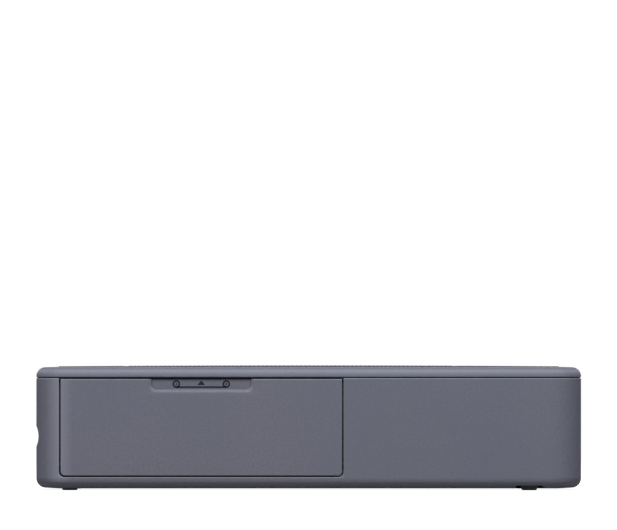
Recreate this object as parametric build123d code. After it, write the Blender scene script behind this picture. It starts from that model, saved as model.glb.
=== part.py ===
from build123d import *
import math
import os

# Compact photo printer, in millimetres. X runs along the long side, with the tray end at -X.
# The cassette door is on the -Y side, and +Z is up. The origin is under the middle, where the feet stand.

# Outer body
body_length = 275.0
body_depth = 163.0
corner_radius = 16.0
foot_stand = 0.95
case_height = 55.6
lid_gap = 0.5
lid_height = 5.25
wall = 2.2
floor_thickness = 2.2
bottom_round = 4.8
bottom_slope_run = 11.0
bottom_slope_rise = 0.6
top_round = 4.6
top_slope_run = 10.5
top_slope_drop = 0.3
panel_inset = 11.3
panel_rise = 0.18
panel_crown = 0.52
inlay_left_inset = 44.0
inlay_length = 168.5
inlay_depth = 0.4
inlay_stand = 0.1
inlay_gap = 0.15
edge_round = 0.4
seat_inset = 0.45
skirt_depth = 2.4
skirt_thickness = 1.2
fit_gap = 0.25
press_gap = 0.02
running_gap = 0.06
shaft_stand = 0.4
bite = 0.5
tiny = 0.01
beyond = 1.0

# Groove across the tray end
groove_radius = 12.2
groove_depth = 1.2
groove_level = 27.3
groove_backing = 1.0

# Cassette door and its hinge
door_left_margin = 12.5
door_width = 141.8
door_sill = 6.45
door_top_drop = 0.45
door_gap = 0.75
door_thickness = 2.2
door_corner = 2.0
hinge_swing_gap = 0.1
hinge_rise_margin = 0.3
hinge_end_gap = 0.3
recess_width = 50.0
recess_height = 5.05
recess_depth = 1.0
recess_corner = 2.2
recess_bevel_run = 1.6
recess_bevel_depth = 0.85
hook_inset = 10.0
hook_width = 5.0
hook_reach = 8.8
hook_thickness = 1.4
hook_barb = 0.9
hook_drop = 4.2
pin_radius = 0.8
hook_notch = 12.0
pin_length = 8.0
pin_seat = 2.2
door_pin_inset = 2.7
knuckle_length = 10.0
knuckle_wall = 1.2
boss_length = 5.0

# Tray door
tray_door_margin = 3.0
tray_door_height = 19.6
tray_pin_inset = 1.7
tray_rail_height = 6.9
tray_rail_width = 3.0
tray_rail_margin = 11.0
tray_rail_length = 35.0
tray_rail_gap = 1.0

# Feet and the case screws
foot_radius = 4.0
foot_taper = 0.5
foot_taper_height = 0.76
foot_seat_depth = 1.0
foot_left_inset = 16.9
foot_right_inset = 26.3
foot_side_inset = 17.5
foot_right_side_inset = 8.4
foot_pocket_width = 14.7
foot_pocket_length = 15.0
foot_pocket_depth = 1.5
foot_pocket_round = 3.0
post_radius = 4.0
post_left_inset = 7.5
post_right_inset = 11.5
post_side_inset = 13.5
post_middle_side_inset = 9.5
post_middle_gap = 11.2
post_rear_offset = 14.0
post_split = 44.0
screw_radius = 1.4
screw_head_radius = 2.5
screw_head_height = 1.8
screw_web = 2.0
screw_bite = 8.0
screw_socket = 1.0

# Chassis plates
chassis_side_room = 20.5
plate_thickness = 1.0
plate_left_inset = 19.5
plate_length = 198.0
plate_top = 56.5
plate_round = 3.0
bar_drop = 1.0
bar_clear = 0.3
pad_height = 1.5
tab_width = 12.0
tab_length = 9.0
tab_screw_bite = 2.6
tab_spots = (22.0, 98.0, 182.0)
keeper_reach = 14.4
keeper_thickness = 0.8
keeper_lip = 0.8
keeper_clear = 0.3
keeper_side = 1.0
bar_thickness = 1.5
entry_bar_inset = 20.0
entry_bar_width = 4.0
entry_bar_height = 9.0
exit_bar_inset = 8.0
exit_bar_width = 8.0

# Paper path
paper_level = 26.0
guide_thickness = 1.2
guide_slot = 2.0
guide_clear = 1.2
print_line_inset = 92.5
platen_radius = 8.0
platen_core = 3.0
platen_margin = 7.0
capstan_offset = 59.0
grip_radius = 4.0
grip_shaft = 2.5
grip_margin = 9.0
paper_thickness = 0.3
guide_drop = 0.6
pickup_inset = 29.5
pickup_level = 30.0
pickup_radius = 9.0
pickup_core = 3.0
pickup_flat = 5.5
pickup_tyre_width = 12.0
pickup_spacing = 34.0
pickup_count = 3
ramp_start = 11.0
ramp_lip = 4.0
ramp_stop = 19.0
ramp_wall = 2.0
ramp_haunch = 3.0
guide_end_inset = 9.5
guide_leg = 6.0
bush_wall = 1.2
bush_flange = 1.0
bush_flange_thickness = 0.8
bush_end = 1.2

# Gears
gear_module = 0.8
gear_addendum = 0.64
gear_dedendum = 0.8
gear_root_share = 0.3
gear_tip_share = 0.12
gear_offset = 2.0
gear_thickness = 5.0
stud_radius = 2.0
stud_shoulder = 3.0
stud_cap = 3.0
stud_cap_thickness = 0.8
stud_clear = 0.3
platen_teeth = 30
takeup_teeth = 25
capstan_teeth = 15
pickup_teeth = 32
takeup_idler_teeth = 25
capstan_idler_teeth = 19
feed_idler_teeth = 28
pickup_idler_teeth = 24
pinion_teeth = 12
cam_teeth = 30
feed_idler_angle = 150.0
feed_motor_angle = -50.0
cam_motor_angle = 20.0
motor_radius = 9.4
motor_length = 32.0
motor_shaft = 1.0
motor_boss = 3.0
cam_motor_radius = 6.5
cam_motor_length = 22.0
motor_end_share = 0.45
motor_end_height = 1.5

# Ribbon cassette
spool_spacing = 70.0
spool_level = 39.8
trough_radius = 11.5
trough_wall = 1.2
trough_mouth = 4.7
cassette_front_gap = 1.0
cassette_rear_gap = 4.0
cassette_cap = 2.5
cassette_grip_depth = 11.0
cassette_grip_height = 9.0
cassette_grip_thickness = 3.0
cassette_grip_plate = 2.0
cassette_cap_step = 2.0
cassette_hub_clear = 1.0
core_radius = 5.0
core_bore = 3.2
core_stub = 5.0
core_gap = 0.6
supply_roll = 8.5
takeup_roll = 6.8
ribbon_margin = 8.0
ribbon_thickness = 0.15
ribbon_shift = 2.5
ribbon_rise = 0.1
guide_rod = 0.9
rod_offset_x = 10.0
rod_drop = 8.4
hub_reach = 8.0
hub_shaft = 2.5
hub_clear = 0.4
bay_clear = 1.0

# Print head
head_rest_gap = 0.6
head_touch_gap = 0.3
head_width = 12.0
head_height = 4.5
head_margin = 9.0
head_bead = 2.0
head_step = 0.5
sink_end_inset = 3.0
sink_width = 24.0
sink_base = 3.5
sink_fins = 6
sink_fin_thickness = 1.4
arm_thickness = 1.2
arm_flange = 2.8
arm_margin = 10.5
arm_clear = 2.3
arm_left_reach = 15.0
arm_pivot_offset = 57.0
arm_pivot_level = 46.0
arm_eye = 4.4
arm_tail = 35.0
arm_tail_level = 47.0
arm_tail_height = 3.0
arm_tail_end = 2.0
arm_step = 2.5
arm_shoulder = 1.0
pivot_radius = 3.0
pivot_stand = 0.5
spring_wire = 0.9
spring_length = 6.5
spring_gap = 1.0
spring_clear = 0.15
cam_shaft_radius = 2.0
cam_wall = 0.6
cam_width = 3.0
cam_clear = 0.5

# Electronics and the power button
board_thickness = 1.6
board_level = 8.15
board_length = 99.5
board_end_gap = 1.8
board_margin = 31.5
board_post_radius = 2.8
board_post_inset = 5.0
chip_height = 2.0
chip_places = ((22.0, 7.0), (42.0, 6.0), (62.0, 5.0))
can_start = 30.0
can_pitch = 12.0
can_count = 4
can_radius = 3.0
can_height = 8.0
can_inset = 20.0
jack_inset = 14.0
jack_length = 14.0
jack_width = 9.0
jack_height = 11.0
jack_barrel = 3.9
jack_bore = 3.2
jack_pin = 1.0
jack_depth = 9.5
jack_pin_inset = 1.5
port_gap = 0.3
port_recess = 0.6
usb_inset = 42.0
usb_width = 9.0
usb_height = 3.3
usb_length = 7.4
usb_shell = 0.35
usb_tongue = 0.7
usb_tongue_inset = 1.6
usb_corner_gap = 0.1
button_y = -40.0
button_level = 44.8
button_radius = 5.0
button_flange = 1.2
button_travel = 0.5
button_recess = 0.15
button_flange_thickness = 1.0
button_gap = 0.2
button_stem_share = 1 / 3
switch_gap = 0.1
switch_step = 0.4
light_offset = 13.0
light_radius = 1.2
light_flange = 1.0
light_gap = 0.1
lamp_side = 3.0
lamp_height = 1.2
switch_side = 6.0
switch_height = 3.0
button_stem = 3.2
button_board_width = 40.0
button_board_height = 14.0
button_board_margin = 4.0
button_post_radius = 2.4
fan_inset = 41.5
fan_level = 41.5
fan_size = 25.0
fan_depth = 7.0
fan_post = 0.8
fan_boss = 2.2
fan_boss_inset = 2.5
fan_bore = 11.6
fan_corner = 2.0
fan_hub = 6.5
fan_blades = 7
fan_tip_gap = 0.5
fan_blade_thickness = 0.8
fan_blade_turn = 28.0
fan_root = 0.6
fan_strut = 1.2
fan_strut_angles = (30, 150, 270)
fan_pin = 1.0
fan_cap = 1.5
fan_end_gap = 0.4
vent_count = 6
vent_width = 2.0
vent_pitch = 3.9
vent_height = 21.0
intake_count = 9
intake_length = 30.0
intake_inset = 75.5
intake_y = -30.0

# Places worked out from the sizes above
left_face = -body_length / 2
right_face = body_length / 2
front_face = -body_depth / 2
back_face = body_depth / 2
case_bottom = foot_stand
floor_top = case_bottom + floor_thickness
case_rim = case_bottom + case_height
lid_bottom = case_rim + lid_gap
lid_shoulder = lid_bottom + lid_height
lid_ceiling = lid_shoulder - wall
door_left = left_face + door_left_margin
door_right = door_left + door_width
door_bottom = case_bottom + door_sill
door_top = case_rim - door_top_drop
plate_inner = body_depth / 2 - chassis_side_room
plate_outer = plate_inner + plate_thickness
plate_bottom = floor_top + pad_height
plate_left_x = left_face + plate_left_inset
plate_right_x = plate_left_x + plate_length
tab_xs = [plate_left_x + spot for spot in tab_spots]
entry_bar_x = plate_left_x + entry_bar_inset
exit_bar_x = plate_right_x - exit_bar_inset
tray_door_width = 2 * (plate_inner - tray_door_margin)
tray_rail_spacing = 2 * (plate_inner - tray_rail_margin)
platen_length = 2 * (plate_inner - platen_margin)
grip_length = 2 * (plate_inner - grip_margin)
head_length = 2 * (plate_inner - head_margin)
arm_width = 2 * (plate_inner - arm_margin)
ribbon_width = 2 * (plate_inner - ribbon_margin)
cassette_front_y = -plate_inner + cassette_front_gap
cassette_rear_y = plate_inner - cassette_rear_gap
board_width = body_depth - 2 * board_margin
board_left_x = right_face - wall - board_end_gap - board_length
jack_y = board_width / 2 - jack_inset
usb_y = board_width / 2 - usb_inset
fan_x = right_face - fan_inset
intake_x = right_face - intake_inset
print_line = left_face + print_line_inset
gear_start = plate_outer + gear_offset
gear_end = gear_start + gear_thickness
supply_x = print_line - spool_spacing / 2
takeup_x = print_line + spool_spacing / 2
capstan_x = print_line + capstan_offset
pickup_x = left_face + pickup_inset
platen_level = paper_level - platen_radius
capstan_level = paper_level - paper_thickness / 2 - grip_radius
pinch_level = paper_level + paper_thickness / 2 + grip_radius
arm_pivot_x = print_line + arm_pivot_offset
rod_level = spool_level - rod_drop
ribbon_level = rod_level - guide_rod - ribbon_thickness
head_bottom = ribbon_level + ribbon_thickness + head_rest_gap
head_drop = head_bottom - paper_level - head_touch_gap
head_angle = math.degrees(math.asin(head_drop / arm_pivot_offset))
arm_bottom = spool_level + trough_radius + arm_clear
cam_throw = arm_tail * math.sin(math.radians(head_angle)) / 2
cam_radius = cam_shaft_radius + cam_wall + cam_throw
cam_x = arm_pivot_x + arm_tail
cam_level = arm_tail_level - arm_tail_height - cam_clear - cam_radius + cam_throw
case_posts = [
    (left_face + post_left_inset, front_face + post_side_inset),
    (left_face + post_left_inset, back_face - post_side_inset),
    (door_right + post_middle_gap, front_face + post_middle_side_inset),
    (capstan_x + post_rear_offset, back_face - post_middle_side_inset),
    (right_face - post_right_inset, front_face + post_middle_side_inset),
    (right_face - post_right_inset, back_face - post_middle_side_inset),
]


def hinge_rise(inset, gap):
    """Height of a door's pin over its lower edge, so that the edge swings clear of the sill."""
    clear = gap - hinge_swing_gap
    return (inset**2 - clear**2) / (2 * clear) + hinge_rise_margin


door_pin_y = front_face + door_pin_inset
door_pin_level = door_bottom + hinge_rise(door_pin_inset, door_gap)
tray_pin_x = left_face + tray_pin_inset
tray_door_bottom = door_bottom
tray_door_top = tray_door_bottom + tray_door_height
tray_pin_level = tray_door_bottom + hinge_rise(tray_pin_inset, door_gap)


def block(x0, x1, y0, y1, z0, z1):
    """Box between two corners."""
    centre = Pos((x0 + x1) / 2, (y0 + y1) / 2, (z0 + z1) / 2)
    return centre * Box(x1 - x0, y1 - y0, z1 - z0)


def rod_x(radius, y, z, x0, x1):
    return Pos((x0 + x1) / 2, y, z) * Rot(0, 90, 0) * Cylinder(radius, x1 - x0)


def rod_y(radius, x, z, y0, y1):
    return Pos(x, (y0 + y1) / 2, z) * Rot(90, 0, 0) * Cylinder(radius, y1 - y0)


def rod_z(radius, x, y, z0, z1):
    return Pos(x, y, (z0 + z1) / 2) * Cylinder(radius, z1 - z0)


def tube_y(outer, inner, x, z, y0, y1):
    return rod_y(outer, x, z, y0, y1) - rod_y(inner, x, z, y0, y1)


def profile_y(points, y0, y1):
    """Solid whose outline in X and Z is a polygon, from y0 to y1."""
    face = make_face(Polyline([(x, y0, z) for x, z in points], close=True))
    return extrude(face, y1 - y0, dir=(0, 1, 0))


def rounded_block(inset, z0, z1):
    """Block with the body's plan, drawn in by inset."""
    plan = RectangleRounded(body_length - 2 * inset, body_depth - 2 * inset, corner_radius - inset)
    return extrude(Pos(0, 0, z0) * plan, z1 - z0)


def skin_edges(body, low):
    """Edges that lie on the body's upright outer skin, above a level."""
    half_x = body_length / 2 - corner_radius
    half_y = body_depth / 2 - corner_radius
    found = []
    for edge in body.edges():
        points = [edge @ share for share in (0, 0.25, 0.5, 0.75, 1)]
        spans = [(max(abs(q.X) - half_x, 0), max(abs(q.Y) - half_y, 0)) for q in points]
        if all(abs(math.hypot(*span) - corner_radius) < 0.02 for span in spans):
            if points[2].Z > low and points[0].Z + points[4].Z > 2 * low:
                found.append(edge)
    return found


def joined(pieces):
    """One node of separate solids."""
    return Compound(children=[solid for piece in pieces for solid in piece.solids()])


def united(pieces):
    whole = pieces[0]
    for piece in pieces[1:]:
        whole = whole + piece
    return whole


# Gear train
def pitch_radius(teeth):
    return gear_module * teeth / 2


def bearing(start, end):
    """Direction from one axis to another in X and Z, in radians."""
    return math.atan2(end[1] - start[1], end[0] - start[0])


def beside(start, distance, angle):
    """Point at a distance and angle from an axis."""
    turn = math.radians(angle)
    return (start[0] + distance * math.cos(turn), start[1] + distance * math.sin(turn))


def between(start, end, start_teeth, own_teeth, end_teeth, side):
    """Axis of an idler that meshes with two gears, on one side of the line between them."""
    reach = pitch_radius(start_teeth) + pitch_radius(own_teeth)
    far = pitch_radius(end_teeth) + pitch_radius(own_teeth)
    span = math.dist(start, end)
    along = (reach**2 - far**2 + span**2) / (2 * span)
    aside = side * math.sqrt(max(reach**2 - along**2, 0))
    turn = bearing(start, end)
    x = start[0] + along * math.cos(turn) - aside * math.sin(turn)
    z = start[1] + along * math.sin(turn) + aside * math.cos(turn)
    return (x, z)


def meshed(phase, teeth, turn, own_teeth):
    """Phase of a gear at the angle turn from a gear with the given phase."""
    share = (turn - phase) * teeth / (2 * math.pi)
    return turn + math.pi - (0.5 - share) * 2 * math.pi / own_teeth


def gear(place, teeth, phase, bore):
    pitch = pitch_radius(teeth)
    points = []
    for tooth in range(teeth):
        middle = phase + 2 * math.pi * tooth / teeth
        root_half = gear_root_share * 2 * math.pi / teeth
        tip_half = gear_tip_share * 2 * math.pi / teeth
        corners = (
            (pitch - gear_dedendum, -root_half),
            (pitch + gear_addendum, -tip_half),
            (pitch + gear_addendum, tip_half),
            (pitch - gear_dedendum, root_half),
        )
        for radius, swing in corners:
            x = place[0] + radius * math.cos(middle + swing)
            z = place[1] + radius * math.sin(middle + swing)
            points.append((x, z))
    wheel = profile_y(points, gear_start, gear_end)
    return wheel - rod_y(bore, place[0], place[1], gear_start - beyond, gear_end + beyond)


platen_axis = (print_line, platen_level)
takeup_axis = (takeup_x, spool_level)
capstan_axis = (capstan_x, capstan_level)
pickup_axis = (pickup_x, pickup_level)
cam_axis = (cam_x, cam_level)
takeup_idler_axis = between(platen_axis, takeup_axis, platen_teeth, takeup_idler_teeth, takeup_teeth, -1)
capstan_idler_axis = between(takeup_axis, capstan_axis, takeup_teeth, capstan_idler_teeth, capstan_teeth, 1)
feed_reach = pitch_radius(platen_teeth) + pitch_radius(feed_idler_teeth)
feed_idler_axis = beside(platen_axis, feed_reach, feed_idler_angle)
pickup_idler_axis = between(
    feed_idler_axis, pickup_axis, feed_idler_teeth, pickup_idler_teeth, pickup_teeth, 1
)
motor_reach = pitch_radius(takeup_idler_teeth) + pitch_radius(pinion_teeth)
feed_motor_axis = beside(takeup_idler_axis, motor_reach, feed_motor_angle)
cam_reach = pitch_radius(cam_teeth) + pitch_radius(pinion_teeth)
cam_motor_axis = beside(cam_axis, cam_reach, cam_motor_angle)

platen_phase = 0.0
takeup_idler_phase = meshed(
    platen_phase, platen_teeth, bearing(platen_axis, takeup_idler_axis), takeup_idler_teeth
)
takeup_phase = meshed(
    takeup_idler_phase, takeup_idler_teeth, bearing(takeup_idler_axis, takeup_axis), takeup_teeth
)
capstan_idler_phase = meshed(
    takeup_phase, takeup_teeth, bearing(takeup_axis, capstan_idler_axis), capstan_idler_teeth
)
capstan_phase = meshed(
    capstan_idler_phase, capstan_idler_teeth, bearing(capstan_idler_axis, capstan_axis), capstan_teeth
)
feed_idler_phase = meshed(
    platen_phase, platen_teeth, bearing(platen_axis, feed_idler_axis), feed_idler_teeth
)
pickup_idler_phase = meshed(
    feed_idler_phase, feed_idler_teeth, bearing(feed_idler_axis, pickup_idler_axis), pickup_idler_teeth
)
pickup_phase = meshed(
    pickup_idler_phase, pickup_idler_teeth, bearing(pickup_idler_axis, pickup_axis), pickup_teeth
)
feed_pinion_phase = meshed(
    takeup_idler_phase, takeup_idler_teeth, bearing(takeup_idler_axis, feed_motor_axis), pinion_teeth
)
cam_phase = 0.0
cam_pinion_phase = meshed(cam_phase, cam_teeth, bearing(cam_axis, cam_motor_axis), pinion_teeth)
idlers = [takeup_idler_axis, capstan_idler_axis, feed_idler_axis, pickup_idler_axis]
idler_bore = stud_radius + running_gap


# Outer body
def outer_case():
    """Case block with its sloped and rounded underside."""
    body = rounded_block(0, case_bottom, case_rim)
    underside = body.faces().sort_by(Axis.Z)[0]
    body = chamfer(underside.edges(), bottom_slope_run, bottom_slope_rise, reference=underside)
    rim = [e for e in body.edges() if abs(e.center().Z - case_bottom - bottom_slope_rise) < tiny]
    return fillet(rim, bottom_round)


def door_opening(margin, top):
    """Space of the cassette door, with a margin round it, through the front wall."""
    width = door_width + 2 * margin
    height = top - door_bottom + margin
    middle = (door_left + door_right) / 2
    opening = block(
        middle - width / 2, middle + width / 2, front_face - beyond, front_face + wall + beyond,
        door_bottom - margin, door_bottom - margin + height,
    )
    low = [e for e in opening.edges().filter_by(Axis.Y) if e.center().Z < door_bottom + margin]
    return fillet(low, door_corner + margin)


def on_front_or_rim(edge):
    """True for the edges round the door's opening and along the rim of the case."""
    middle = edge @ 0.5
    in_width = door_left - 2 * door_gap < middle.X < door_right + 2 * door_gap
    beside_door = middle.Y < front_face + corner_radius / 2 and in_width
    corner_seam = abs(middle.X - left_face - corner_radius) < tiny
    return middle.Z > case_rim - tiny or beside_door and not corner_seam


def groove_cutter():
    x = left_face + groove_depth - groove_radius
    return rod_y(groove_radius, x, groove_level, front_face - beyond, back_face + beyond)


def groove_backing_block(y0, y1, z0, z1):
    return block(left_face + wall - bite, left_face + wall + groove_backing, y0, y1, z0, z1)


def lower_case():
    shell = outer_case()
    shell -= rounded_block(wall, floor_top, case_rim + beyond)
    shell -= door_opening(door_gap, case_rim + beyond)
    opening_edges = [e for e in skin_edges(shell, door_bottom - 2 * door_gap) if on_front_or_rim(e)]
    shell = fillet(opening_edges, edge_round)
    flap_half = tray_door_width / 2 + door_gap
    backing_half = body_depth / 2 - corner_radius
    backing_top = groove_level + groove_radius / 2
    shell += groove_backing_block(-backing_half, backing_half, tray_door_top + door_gap, backing_top)
    shell -= block(
        left_face - beyond, left_face + wall + groove_backing + beyond, -flap_half, flap_half,
        tray_door_bottom - door_gap, tray_door_top + door_gap / 2,
    )
    shell -= groove_cutter()
    shell += united(hinge_bosses())
    for x, y in case_posts:
        shell += rod_z(post_radius, x, y, floor_top - bite, post_split)
        shell -= rod_z(screw_head_radius + fit_gap, x, y, case_bottom - beyond, post_split - screw_web)
        shell -= rod_z(screw_radius + fit_gap, x, y, case_bottom, post_split + beyond)
    shell += united(chassis_pads())
    for x, y in board_posts():
        shell += rod_z(board_post_radius, x, y, floor_top - bite, board_level)
    shell += united(button_posts())
    shell += united(fan_posts())
    shell += united(tray_rails())
    for cutter in pin_holes() + foot_seats() + wall_cuts() + vents() + chassis_screw_holes():
        shell -= cutter
    return shell


def hinge_bosses():
    """Blocks beside the two door openings that hold the hinge pins."""
    door_edge = front_face + wall - bite
    half = pin_radius + knuckle_wall
    deep = door_pin_y + half
    left = door_left - door_gap
    right = door_right + door_gap
    low = door_pin_level - half
    high = door_pin_level + half
    tray_side = tray_door_width / 2 + door_gap
    tray_deep = max(tray_pin_x + half, left_face + wall + bite)
    tray_low = tray_pin_level - half
    tray_high = tray_pin_level + half
    bosses = [
        block(left - boss_length, left, door_edge, deep, low, high),
        block(right, right + boss_length, door_edge, deep, low, high),
    ]
    for side in (-1, 1):
        y0, y1 = sorted((side * tray_side, side * (tray_side + boss_length)))
        bosses.append(block(left_face + wall - bite, tray_deep, y0, y1, tray_low, tray_high))
    bosses[0] = bosses[0] & rounded_block(wall / 2, case_bottom, case_rim)
    return bosses


def hinge_pin_spans():
    """Each hinge pin as (kind, across, level, start, end), the seated end in the case."""
    left = door_left - door_gap - pin_seat
    right = door_right + door_gap + pin_seat
    tray = tray_door_width / 2 + door_gap + pin_seat
    return [
        ("x", door_pin_y, door_pin_level, left, left + pin_length),
        ("x", door_pin_y, door_pin_level, right - pin_length, right),
        ("y", tray_pin_x, tray_pin_level, -tray, -tray + pin_length),
        ("y", tray_pin_x, tray_pin_level, tray - pin_length, tray),
    ]


def hinge_pin(span, radius, extra=0.0):
    kind, across, level, start, end = span
    if kind == "x":
        return rod_x(radius, across, level, start - extra, end + extra)
    return rod_y(radius, across, level, start - extra, end + extra)


def pin_holes():
    return [hinge_pin(span, pin_radius + press_gap, press_gap) for span in hinge_pin_spans()]


def foot_places():
    left = left_face + foot_left_inset
    right = right_face - foot_right_inset
    return [
        (left, front_face + foot_side_inset),
        (left, back_face - foot_side_inset),
        (right, front_face + foot_right_side_inset),
        (right, back_face - foot_right_side_inset),
    ]


def foot_seats():
    """Round seats for all four feet, and the pockets round the two at the right."""
    cutters = []
    for x, y in foot_places():
        top = case_bottom + foot_seat_depth
        if x > 0:
            pocket = block(
                x - foot_pocket_width / 2, x + foot_pocket_width / 2,
                y - foot_pocket_length / 2, y + foot_pocket_length / 2,
                case_bottom - beyond, case_bottom + foot_pocket_depth,
            )
            cutters.append(fillet(pocket.edges().filter_by(Axis.Z), foot_pocket_round))
            top += foot_pocket_depth - foot_seat_depth
        cutters.append(rod_z(foot_radius + press_gap, x, y, case_bottom - beyond, top))
    return cutters


def wall_cuts():
    """Holes for the power button, the light, the power jack and the data port."""
    through = right_face - wall - beyond
    jack_z = board_level + board_thickness + jack_height / 2
    usb_z = board_level + board_thickness + usb_height / 2
    usb = block(
        through, right_face + beyond,
        usb_y - usb_width / 2 - port_gap, usb_y + usb_width / 2 + port_gap,
        usb_z - usb_height / 2 - port_gap, usb_z + usb_height / 2 + port_gap,
    )
    usb = fillet(usb.edges().filter_by(Axis.X), usb_height / 2)
    light_y = button_y + light_offset
    outer = left_face - beyond
    inner = left_face + wall + beyond
    button_hole = rod_x(button_radius + button_gap, button_y, button_level, outer, inner)
    light_hole = rod_x(light_radius + press_gap, light_y, button_level, outer, inner)
    jack_hole = rod_x(jack_barrel + port_gap, jack_y, jack_z, through, right_face + beyond)
    return [usb, button_hole, light_hole, jack_hole]


def vents():
    """Fan slots in the back wall and intake slots in the floor."""
    cutters = []
    for index in range(vent_count):
        x = fan_x + (index - (vent_count - 1) / 2) * vent_pitch
        slot = block(
            x - vent_width / 2, x + vent_width / 2, back_face - wall - bite, back_face + beyond,
            fan_level - vent_height / 2, fan_level + vent_height / 2,
        )
        cutters.append(fillet(slot.edges().filter_by(Axis.Y), vent_width / 2 - 0.05))
    for index in range(intake_count):
        x = intake_x + (index - (intake_count - 1) / 2) * vent_pitch
        slot = block(
            x - vent_width / 2, x + vent_width / 2,
            intake_y - intake_length / 2, intake_y + intake_length / 2,
            case_bottom - beyond, floor_top + bite,
        )
        cutters.append(fillet(slot.edges().filter_by(Axis.Z), vent_width / 2 - 0.05))
    return cutters


def tab_centres():
    middle = plate_outer + tab_length / 2
    return [(x, side * middle) for x in tab_xs for side in (-1, 1)]


def chassis_pads():
    return [
        block(
            x - tab_width / 2, x + tab_width / 2, y - tab_length / 2, y + tab_length / 2,
            floor_top - bite, plate_bottom,
        )
        for x, y in tab_centres()
    ]


def chassis_screw_holes():
    low = plate_bottom - tab_screw_bite
    return [rod_z(screw_radius + press_gap, x, y, low, plate_bottom + beyond) for x, y in tab_centres()]


def tray_rails():
    """Two ribs that the paper tray slides on."""
    start = left_face + wall + groove_backing + tray_rail_gap
    end = start + tray_rail_length
    half = tray_rail_width / 2
    top = floor_top + tray_rail_height
    return [
        block(start, end, y - half, y + half, floor_top - bite, top)
        for y in (-tray_rail_spacing / 2, tray_rail_spacing / 2)
    ]


def lid_surface():
    """Top cover without its inside: shoulders, rounded edge and raised crowned panel."""
    body = rounded_block(0, lid_bottom, lid_shoulder)
    top = body.faces().sort_by(Axis.Z)[-1]
    body = chamfer(top.edges(), top_slope_run, top_slope_drop, reference=top)
    rim = [e for e in body.edges() if abs(e.center().Z - lid_shoulder + top_slope_drop) < tiny]
    body = fillet(rim, top_round)
    body = fillet(body.faces().sort_by(Axis.Z)[0].edges(), edge_round)
    return body + (arch(0) & rounded_block(panel_inset, lid_bottom, lid_shoulder + 2 * beyond))


def arch(rise):
    """Solid under the crowned panel, with its top raised or sunk."""
    low = lid_shoulder + panel_rise + rise
    left = (left_face, front_face, low)
    crest = (0, front_face, low + panel_crown)
    right = (right_face, front_face, low)
    low_right = (right_face, front_face, lid_bottom)
    low_left = (left_face, front_face, lid_bottom)
    face = make_face(
        Curve() + ThreePointArc(left, crest, right) + Polyline(right, low_right, low_left, left)
    )
    return extrude(face, body_depth, dir=(0, 1, 0))


def inlay_space(margin, reach):
    """Room for the textured inlay across the panel, down to its seat."""
    start = left_face + inlay_left_inset
    space = block(
        start - margin, start + inlay_length + margin, -reach, reach,
        lid_bottom + beyond, lid_shoulder + 2 * beyond,
    )
    return space - arch(-inlay_depth)


def textured_inlay():
    """Thin sheet that carries the raised dots, standing a little proud of the panel."""
    return inlay_space(0, body_depth / 2 - panel_inset) & arch(inlay_stand)


def top_cover():
    cover = lid_surface() - inlay_space(inlay_gap, body_depth / 2 - panel_inset + beyond)
    cover -= rounded_block(wall, lid_bottom - beyond, lid_ceiling)
    skirt_inset = wall + fit_gap
    skirt = rounded_block(skirt_inset, lid_bottom - skirt_depth, lid_bottom + beyond)
    skirt += rounded_block(seat_inset, case_rim, lid_bottom + beyond)
    inner = skirt_inset + skirt_thickness
    cover += skirt - rounded_block(inner, lid_bottom - skirt_depth - beyond, lid_bottom + 2 * beyond)
    cover -= block(
        door_left - door_gap, door_right + door_gap, front_face + wall, front_face + hook_notch,
        lid_bottom - skirt_depth - beyond, lid_bottom,
    )
    for x, y in case_posts:
        cover += rod_z(post_radius, x, y, post_split + fit_gap, lid_ceiling + bite)
        cover -= rod_z(screw_radius + press_gap, x, y, post_split, post_split + screw_bite + beyond)
    return cover


def case_screws():
    screws = []
    for x, y in case_posts:
        seat = post_split - screw_web
        head = rod_z(screw_head_radius, x, y, seat - screw_head_height, seat)
        hexagon = Pos(x, y, seat - screw_head_height) * RegularPolygon(screw_socket, 6)
        socket = extrude(hexagon, screw_head_height / 2)
        screws.append(head - socket + rod_z(screw_radius, x, y, seat, post_split + screw_bite))
    return joined(screws)


def rubber_feet():
    feet = []
    for x, y in foot_places():
        top = case_bottom + (foot_pocket_depth if x > 0 else foot_seat_depth)
        foot = rod_z(foot_radius, x, y, 0, top)
        edge = foot.edges().sort_by(Axis.Z)[0]
        base = foot.faces().sort_by(Axis.Z)[0]
        feet.append(chamfer(edge, foot_taper, foot_taper_height, reference=base))
    return joined(feet)


# Doors
def recessed(door):
    """Door with the shallow bevelled thumb recess at the middle of its top edge."""
    middle = (door_left + door_right) / 2
    bottom = door_top - recess_height
    half = recess_width / 2
    pocket = block(
        middle - half, middle + half, front_face - beyond, front_face + recess_depth,
        bottom, door_top + beyond,
    )
    low = [e for e in pocket.edges().filter_by(Axis.Y) if e.center().Z < door_top]
    door = door - fillet(low, recess_corner)
    face = door.faces().sort_by(Axis.Y)[0]
    rim = [e for e in face.edges() if abs((e @ 0.5).X - middle) < half + tiny and bottom - tiny < (e @ 0.5).Z]
    rim = [e for e in rim if (e @ 0.5).Z < door_top - tiny]
    return chamfer(rim, recess_bevel_run, recess_bevel_depth, reference=face)


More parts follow.
